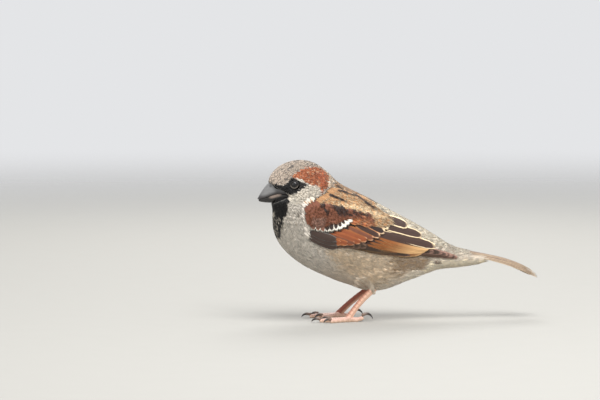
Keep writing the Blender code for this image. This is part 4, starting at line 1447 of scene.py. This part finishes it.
def mandible(upper):
    n, around = bill["rings"], bill["overArc"] + bill["overMouth"]
    run = bill["back"] * np.linspace(0, 1, n) ** bill["packing"]
    if not upper:
        run = bill["lowerTip"] + run * (1 - bill["lowerTip"] / bill["back"])
    x = billAt[0] + run
    mouth = faceAt[1] + np.interp(x - faceAt[0], gapeX, gapeZ)
    mouth = np.convolve(np.pad(mouth, 4, mode="edge"), np.ones(9) / 9, "valid")
    share = np.clip(run / bill["depth"], 0, 1)
    half = spline(bill["half"], 60)
    half = np.interp(run, half[:, 0], half[:, 1])
    if upper:
        edge = billAt[1] + bill["blunt"] + bill["culmenRise"] * (1 - (1 - share) ** bill["culmenCurve"])
        base = mouth + bill["gap"]
    else:
        half = half * bill["lowerWidth"]
        drop = bill["gonysDrop"] - bill["blunt"]
        edge = billAt[1] - bill["blunt"] - drop * (1 - (1 - share) ** bill["gonysCurve"])
        base = mouth - bill["gap"]
    turn = np.linspace(0, math.pi, bill["overArc"])
    back = np.linspace(1, -1, bill["overMouth"] + 2)[1:-1]
    y = np.concatenate([np.cos(turn), -back])
    z = np.concatenate([np.sin(turn) ** bill["crownPower"], np.zeros(bill["overMouth"])])
    grid = np.stack([np.broadcast_to(x[:, None], (n, around)), half[:, None] * y,
                     base[:, None] + (edge - base)[:, None] * z], -1)
    above = abs(grid[..., 2] - mouth[:, None])
    tipward = smooth(bill["tipReach"], 0.0, run)[:, None] * np.ones_like(above)
    if upper:
        noseX, noseZ, long, high, deep = bill["nostril"]
        x, z = grid[..., 0] - billAt[0], grid[..., 2] - billAt[1]
        away = np.hypot((x - noseX) / long, (z - noseZ) / high)
        pit = np.exp(-away**2)
        grid[..., 1] -= np.sign(grid[..., 1]) * pit * deep
        # The pale upper sides of the upper mandible are a painted sky reflection over its dark horn, with
        # less of it toward the tip
        rim = smooth(0.3, 2.3, above - tipward * 0.5)
        colours = blendPaint(paints["billDark"], paints["billSkyReflection"], rim * (1 - 0.3 * tipward))
        back = smooth(*bill["dark"], run)[:, None] * np.ones_like(above)
        # Darker again toward the base, and painted shade darkens the nostril's pit
        colours = blendPaint(colours, paints["billDark"], np.maximum(back * 0.7, pit))
    else:
        (first, last), deep = bill["paleBase"]
        middle, reach = (first + last) / 2, (last - first) / 2
        pale = smooth(1.0, 0.55, np.hypot((run[:, None] - middle) / reach, above / deep - 0.2))
        colours = blendPaint(paints["billBlack"], paints["billPale"], pale)
    return grid, colours


def makeBill():
    finish = hornFinish("bill_horn", (250, 1500, 1500), 0.42, 0.35)
    for name, upper in (("bill_upper", True), ("bill_lower", False)):
        piece = Horny(f"{name}_horn")
        piece.add(*mandible(upper))
        piece.make(finish, "bill_horn", name)


# The eye: a ball with a raised cornea, and a ring of bare lid round it
eye = {
    "ahead": 12, "up": 6, "cornea": 0.16, "pupil": 0.34, "iris": 0.5, "ring": 1.86, "ringHigh": 0.34,
    "ringWide": 0.26, "ringOut": 0.05, "knobs": 30, "knobHigh": 0.05, "under": 0.06, "rings": 44,
    "around": 56, "lidAround": 180, "lidTube": 12,
}


def eyeAxes(sign):
    ahead, up = math.radians(eye["ahead"]), math.radians(eye["up"])
    axis = np.array([-math.sin(ahead) * math.cos(up), sign * math.cos(ahead) * math.cos(up), math.sin(up)])
    side = np.cross(axis, (0, 0, 1))
    side /= np.linalg.norm(side)
    return axis, side, np.cross(side, axis)


def grainFinish(name, scale, tone, strength, depth, even):
    f = Finish(name, **even)
    grain = f.noise(scale, 3.0, f.place())
    return f.finish(f.lighten(f.named("web"), 1 + grain * tone), None, grain, strength, depth)


def makeEyes():
    wet = {"Roughness": 0.3, "Coat Weight": 0.5, "Coat Roughness": 0.02, "IOR": 1.33}
    wet = grainFinish("eye_wet", 2600, 0.5, 0.02, 0.00002, wet)
    bare = grainFinish("lid_skin", 2200, 0.4, 0.5, 0.00008, {"Roughness": 0.6})
    for side, sign in sideSign.items():
        centre = middleOf(f"eye_{side}")
        axis, across, up = eyeAxes(sign)
        n, around = eye["rings"], eye["around"]
        tilt = poleToPole(0.02, n)
        turn = fullTurn(around)
        radius = eyeRadius - eye["under"] + eye["cornea"] * smooth(0.85, 0.2, tilt)
        ring = np.cos(turn)[:, None] * across + np.sin(turn)[:, None] * up
        grid = centre + (radius * np.cos(tilt))[..., None] * axis
        grid = grid + (radius * np.sin(tilt))[..., None] * ring
        seen = np.broadcast_to(tilt, (n, around))
        inIris = smooth(eye["pupil"] - 0.03, eye["pupil"] + 0.03, seen)
        pastIris = smooth(eye["iris"], eye["iris"] + 0.12, seen)
        colours = blendPaint(paints["pupil"], paints["iris"], inIris)
        colours = blendPaint(colours, paints["pupil"], pastIris)
        ball = Horny(f"eye_ball_{side}")
        ball.add(grid, colours)
        ball.make(wet, "eye_dark", f"eye_{side}")

        turn, bend = fullTurn(eye["lidAround"]), fullTurn(eye["lidTube"])
        knob = eye["knobHigh"] * np.abs(np.cos(turn * eye["knobs"] / 2))
        level = math.sqrt(eyeRadius**2 - eye["ring"]**2)
        spoke = np.cos(turn)[:, None] * across * 1.03 + np.sin(turn)[:, None] * up * 0.96
        reach = eye["ring"] + (eye["ringWide"] + knob)[:, None] * np.cos(bend)
        rise = level + eye["ringOut"] + (eye["ringHigh"] + knob)[:, None] * np.sin(bend)
        grid = centre + reach[..., None] * spoke[:, None] + rise[..., None] * axis
        lower = smooth(0.2, -0.6, np.sin(turn))[:, None] * np.ones(len(bend))
        ringPiece(f"lid_{side}", grid, blendPaint(paints["lidDark"], paints["lid"], lower), bare)


def ringPiece(name, grid, colours, finish):             # a loop of rings, joined end to end
    rows, around = grid.shape[:2]
    faces = np.stack(corners(rows, around), -1).reshape(-1, 4) % (rows * around)
    points = grid.reshape(-1, 3)
    middle = grid.mean(1)[faces[:, 0] // around]
    quad = points[faces]
    out = np.cross(quad[:, 1] - quad[:, 0], quad[:, 3] - quad[:, 0])
    flip = ((quad.mean(1) - middle) * out).sum() < 0
    obj = meshPiece(name, points, faces[:, ::-1] if flip else faces, finish)
    setPaint(obj, "web", colours.reshape(-1, 3))
    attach(obj, "root")


# Legs: scutes over the front of the shank and the tops of the toes, pads under them
leg = {
    "depth": 1.56, "width": 1.3, "bow": 0.5, "scutes": 9, "scuteHigh": 0.10, "groove": 0.04, "seam": 0.09,
    "seamAt": 1.35, "seamWide": 0.11, "heel": 0.22, "ankle": 0.16, "calf": 0.22, "ball": 1.9, "rings": 170,
    "around": 36,
}
toe = {
    "root": 1.42, "end": 1.02, "pad": 0.14, "press": 0.16, "scutes": {1: 8, 2: 9, 3: 13, 4: 12},
    "pads": {1: 2, 2: 2, 3: 3, 4: 4}, "scuteHigh": 0.075, "groove": 0.04, "hindLift": 1.5, "rings": 90,
    "around": 28,
}
claw = {
    "root": 0.8, "end": 0.14, "rise": 0.7, "hindRise": 1.5, "thin": 0.78, "hook": 1.35, "ridge": 0.12,
    "inToe": 0.5, "rings": 40, "around": 18,
}
ballOfFoot = {"under": 0.12, "knobs": (9, 7), "knobHigh": 0.04, "rings": 24, "around": 36}
hindToe = 1


def nodePoints(node):
    return np.array([v.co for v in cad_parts[node].data.vertices]) / mm


def nodeEnds(node, start):              # middles of a node's near and far ends, from a point
    co, few = nodePoints(node), 6
    order = np.argsort(np.linalg.norm(co - start, axis=1))
    return co[order[:few]].mean(0), co[order[-few:]].mean(0)


def farCap(node, start):                # the middle of a shank's far end
    co = np.unique(nodePoints(node).round(2), axis=0)
    middle = co.mean(0)
    for _ in range(3):
        axis = (middle - start) / np.linalg.norm(middle - start)
        run = (co - start) @ axis
        middle = co[run > run.max() - 0.7].mean(0)
    return middle


def legFinish():
    f = Finish("leg_skin", Roughness=0.5, **{"Coat Weight": 0.1, "Coat Roughness": 0.4})
    grain = f.noise(1800, 4.0, f.place())
    inputs = {"Scale": 2300, "Vector": f.place()}
    cells = f.node("ShaderNodeTexVoronoi", {"feature": "DISTANCE_TO_EDGE"}, inputs)
    crack = 1 - cells.step(0.0, 0.12)
    colour = f.lighten(f.named("web"), 1 + grain * 0.3 - crack * 0.12)
    return f.finish(colour, 0.5 + grain * 0.2, grain * 0.5 - crack, 0.3, 0.00006)


def tube(path, high, wide):             # rings round a path: how far each point lies up and aside
    along = np.gradient(path, axis=0)
    along /= np.linalg.norm(along, axis=1, keepdims=True)
    side = np.cross(along, (0, 0, 1))
    side /= np.linalg.norm(side, axis=1, keepdims=True)
    grid = path[:, None] + high[..., None] * np.cross(side, along)[:, None]
    return grid + wide[..., None] * side[:, None]


def steps(share, count):                # overlapping plates: each rises to its far edge and drops
    part = (share * count) % 1
    return part**1.6 * smooth(1.0, 0.9, part), smooth(0.86, 0.98, part) + smooth(0.1, 0.0, part)


def makeShank(heel, ankle, sign):
    n, around = leg["rings"], leg["around"]
    share = np.linspace(-0.06, 1, n)    # starts a little above the heel
    path = heel + np.outer(share, ankle - heel)
    path += np.outer(np.sin(math.pi * np.clip(share, 0, 1)), (-leg["bow"], 0, leg["bow"]))
    turn = fullTurn(around)
    swell = 1 + leg["heel"] * np.clip(1 - share, 0, 1) ** 6 + leg["ankle"] * np.clip(share, 0, 1) ** 5
    face = smooth(-0.1, 0.25, np.cos(turn))
    rise, groove = steps(share, leg["scutes"])
    seam = np.exp(-((np.abs(turn - math.pi) - leg["seamAt"]) / leg["seamWide"]) ** 2)
    relief = np.outer(rise * leg["scuteHigh"] - groove * leg["groove"], face) - leg["seam"] * seam
    calf = 1 - leg["calf"] * smooth(0.2, -1, np.cos(turn))
    deep = leg["depth"] * swell[:, None] * np.ones(around) + relief
    wide = leg["width"] * swell[:, None] * calf + relief
    grid = tube(path, deep * np.cos(turn), wide * np.sin(turn))
    # The inner side of each shank, toward the other leg, is painted dark as painted shade; the front's
    # darker red-brown is the scutes' own colour with painted shade on it
    inner = smooth(-0.35, 0.45, -sign * np.sin(turn))
    front = np.maximum(smooth(0.1, 1.0, np.cos(turn)) * 0.75, inner * smooth(-1.2, 0.2, np.cos(turn)))
    colours = blendPaint(paints["legPink"], paints["legFrontAndShade"], np.ones((n, 1)) * front)
    dark = np.clip(np.outer(groove, face) + seam * 0.7, 0, 1)
    return grid, blendPaint(colours, paints["legDusk"], dark * 0.55)


def makeToe(number, ball, root):
    n, around = toe["rings"], toe["around"]
    share = np.linspace(0, 1, n)
    away = root - ball
    length = math.hypot(away[0], away[1])
    ahead = np.array([away[0], away[1], 0]) / length
    radius = toe["root"] + (toe["end"] - toe["root"]) * share
    pads = toe["pads"][number]
    swell = 1 + toe["pad"] * np.cos(2 * math.pi * pads * share)
    path = ball + np.outer(share * length, ahead)
    path[:, 2] = radius - toe["press"] + (toe["hindLift"] * share**6 if number == hindToe else 0)
    turn = fullTurn(around)
    top = smooth(-0.2, 0.4, np.cos(turn))
    rise, groove = steps(share, toe["scutes"][number])
    relief = np.outer(rise * toe["scuteHigh"] - groove * toe["groove"], top)
    under = np.outer(swell - 1, 1 - top) * radius[:, None]
    end = (1 - smooth(0.93, 1.0, share) * 0.35)[:, None]
    reach = (radius[:, None] * (1 + 0.04 * np.outer(swell - 1, top)) + relief + under) * end
    grid = tube(path, reach * np.cos(turn), reach * np.sin(turn))
    grid[..., 2] = np.maximum(grid[..., 2], 0.0)
    colours = blendPaint(paints["toePad"], paints["toeTop"], np.ones((n, 1)) * top)
    return grid, blendPaint(colours, paints["legDusk"], np.outer(groove, top) * 0.6)


def makeClaw(number, root, tip):
    n, around = claw["rings"], claw["around"]
    share = np.linspace(0, 1, n)
    flat = (tip - root) * (1, 1, 0)
    path = root + np.outer(np.sin(share * claw["hook"]) / math.sin(claw["hook"]), flat)
    arch = claw["hindRise" if number == hindToe else "rise"] * np.sin(math.pi * share**0.8)
    path[:, 2] = root[2] * (1 - share) + tip[2] * share + arch
    path[0] -= flat / np.linalg.norm(flat) * claw["inToe"]
    turn = fullTurn(around)
    radius = claw["root"] + (claw["end"] - claw["root"]) * share**1.3
    ridge = 1 + claw["ridge"] * smooth(0.6, 1.0, np.cos(turn))
    grid = tube(path, np.outer(radius, np.cos(turn) * ridge), np.outer(radius * claw["thin"], np.sin(turn)))
    dark = smooth(0.0, 0.55, share)[:, None] * np.ones(around)
    return grid, blendPaint(paints["clawRoot"], paints["clawTip"], dark)


def makeBall(ball):
    n, around = ballOfFoot["rings"], ballOfFoot["around"]
    tilt = poleToPole(0.05, n)
    turn = fullTurn(around)
    knobs = np.cos(turn * ballOfFoot["knobs"][0]) * np.sin(tilt * ballOfFoot["knobs"][1])
    radius = leg["ball"] - ballOfFoot["under"] + ballOfFoot["knobHigh"] * knobs
    flat = radius * np.sin(tilt)
    grid = np.stack([flat * np.cos(turn), flat * np.sin(turn), radius * np.cos(tilt)], -1) + ball
    grid[..., 2] = np.maximum(grid[..., 2], 0.0)
    low = smooth(0.2, -0.5, np.cos(tilt)) * np.ones(around)
    return grid, blendPaint(paints["toeTop"], paints["toePad"], low)


def makeLegs():
    bare, horn = legFinish(), hornFinish("claw_horn", (900, 900, 900), 0.38, 0.25)
    for side, sign in sideSign.items():
        co = nodePoints(f"foot_{side}")
        ball = co[co[:, 2].argmax()] - (0, 0, leg["ball"])
        heel = farCap(f"tarsus_{side}", ball)
        shank = Horny(f"shank_{side}")
        shank.add(*makeShank(heel, ball, sign))
        shank.make(bare, "leg_skin", f"tarsus_{side}")
        foot = Horny(f"toes_{side}")
        foot.add(*makeBall(ball))
        for number in toe["scutes"]:
            node = f"claw_{number}_{side}"
            root, tip = nodeEnds(node, ball)
            foot.add(*makeToe(number, ball, root))
            nail = Horny(f"nail_{number}_{side}")
            nail.add(*makeClaw(number, root, tip))
            nail.make(horn, "claw_horn", node)
        foot.make(bare, "leg_skin", f"foot_{side}")


print("making bill, eyes and legs")
makeBill()
makeEyes()
makeLegs()


# Aim is a share of the bird's box, angles are degrees, distances and sizes are metres
camera = {"aim": (0.151, 0.5, 0.747), "azimuth": -9, "elevation": 4, "distance": 1.75, "lens": 200}
lights = (
    {"name": "key", "azimuth": 20, "elevation": 62, "distance": 0.9, "size": 0.7, "watts": 8.5},
    {"name": "fill", "azimuth": -50, "elevation": 20, "distance": 1.1, "size": 0.9, "watts": 1.4},
    {"name": "rim", "azimuth": 165, "elevation": 40, "distance": 0.9, "size": 0.5, "watts": 4},
    {"name": "glint", "azimuth": 16, "elevation": 38, "distance": 0.9, "size": 0.08, "watts": 0.8},
)
sky = {"colour": (0.97, 0.98, 1.0), "strength": 0.8}
floor = {"half": 2, "squares": 8, "clear": 0.5, "faded": 1.7, "paint": (168, 166, 160)}


def stand(plan, data, aim):             # azimuth 0 is on the bird's left, 90 behind its tail
    a, e = math.radians(plan["azimuth"]), math.radians(plan["elevation"])
    away = Vector((math.sin(a) * math.cos(e), -math.cos(a) * math.cos(e), math.sin(e)))
    obj = placed(data.name, data)
    obj.location = aim + away * plan["distance"]
    obj.rotation_euler = away.to_track_quat("Z", "Y").to_euler()
    return obj


def makeCamera():
    low, high = cadBox
    aim = Vector([low[k] + (high[k] - low[k]) * camera["aim"][k] for k in range(3)])
    lens = bpy.data.cameras.new("camera")
    lens.lens = camera["lens"]
    lens.sensor_width = 36
    lens.clip_start = 0.05
    bpy.context.scene.camera = stand(camera, lens, aim)
    return aim


def makeLights(aim):
    for light in lights:
        data = bpy.data.lights.new(light["name"], "AREA")
        data.shape = "DISK"
        data.size = light["size"]
        data.energy = light["watts"]
        stand(light, data, aim)
    world = bpy.data.worlds.new("studio")
    world.use_nodes = True
    backdrop = world.node_tree.nodes["Background"]
    backdrop.inputs["Color"].default_value = (*sky["colour"], 1)
    backdrop.inputs["Strength"].default_value = sky["strength"]
    bpy.context.scene.world = world
    bpy.context.scene.view_settings.view_transform = "Standard"


def makeFloor():                        # a pale floor that fades out all round
    count = floor["squares"] + 1
    at = np.linspace(-floor["half"], floor["half"], count)
    points = np.stack([*np.meshgrid(at, at, indexing="ij"), np.zeros((count, count))], -1).reshape(-1, 3)
    corner = (np.arange(count - 1)[:, None] * count + np.arange(count - 1)).ravel()
    f = Finish("floor_plaster", Roughness=0.85)
    grain = f.noise(60, 4.0, f.place())
    away = f.node("ShaderNodeVectorMath", {"operation": "LENGTH"}, {0: f.place()}, 1)
    f.put(f.shader.inputs["Alpha"], 1 - away.step(floor["clear"], floor["faded"]))
    f.finish(f.lighten(tuple(paint(*floor["paint"])), 1 + grain * 0.03), None, grain, 0.1, 0.0002)
    meshPiece("floor", points / mm, corner[:, None] + (0, count, count + 1, 1), f.material)


print("setting the stage")
makeLights(makeCamera())
makeFloor()
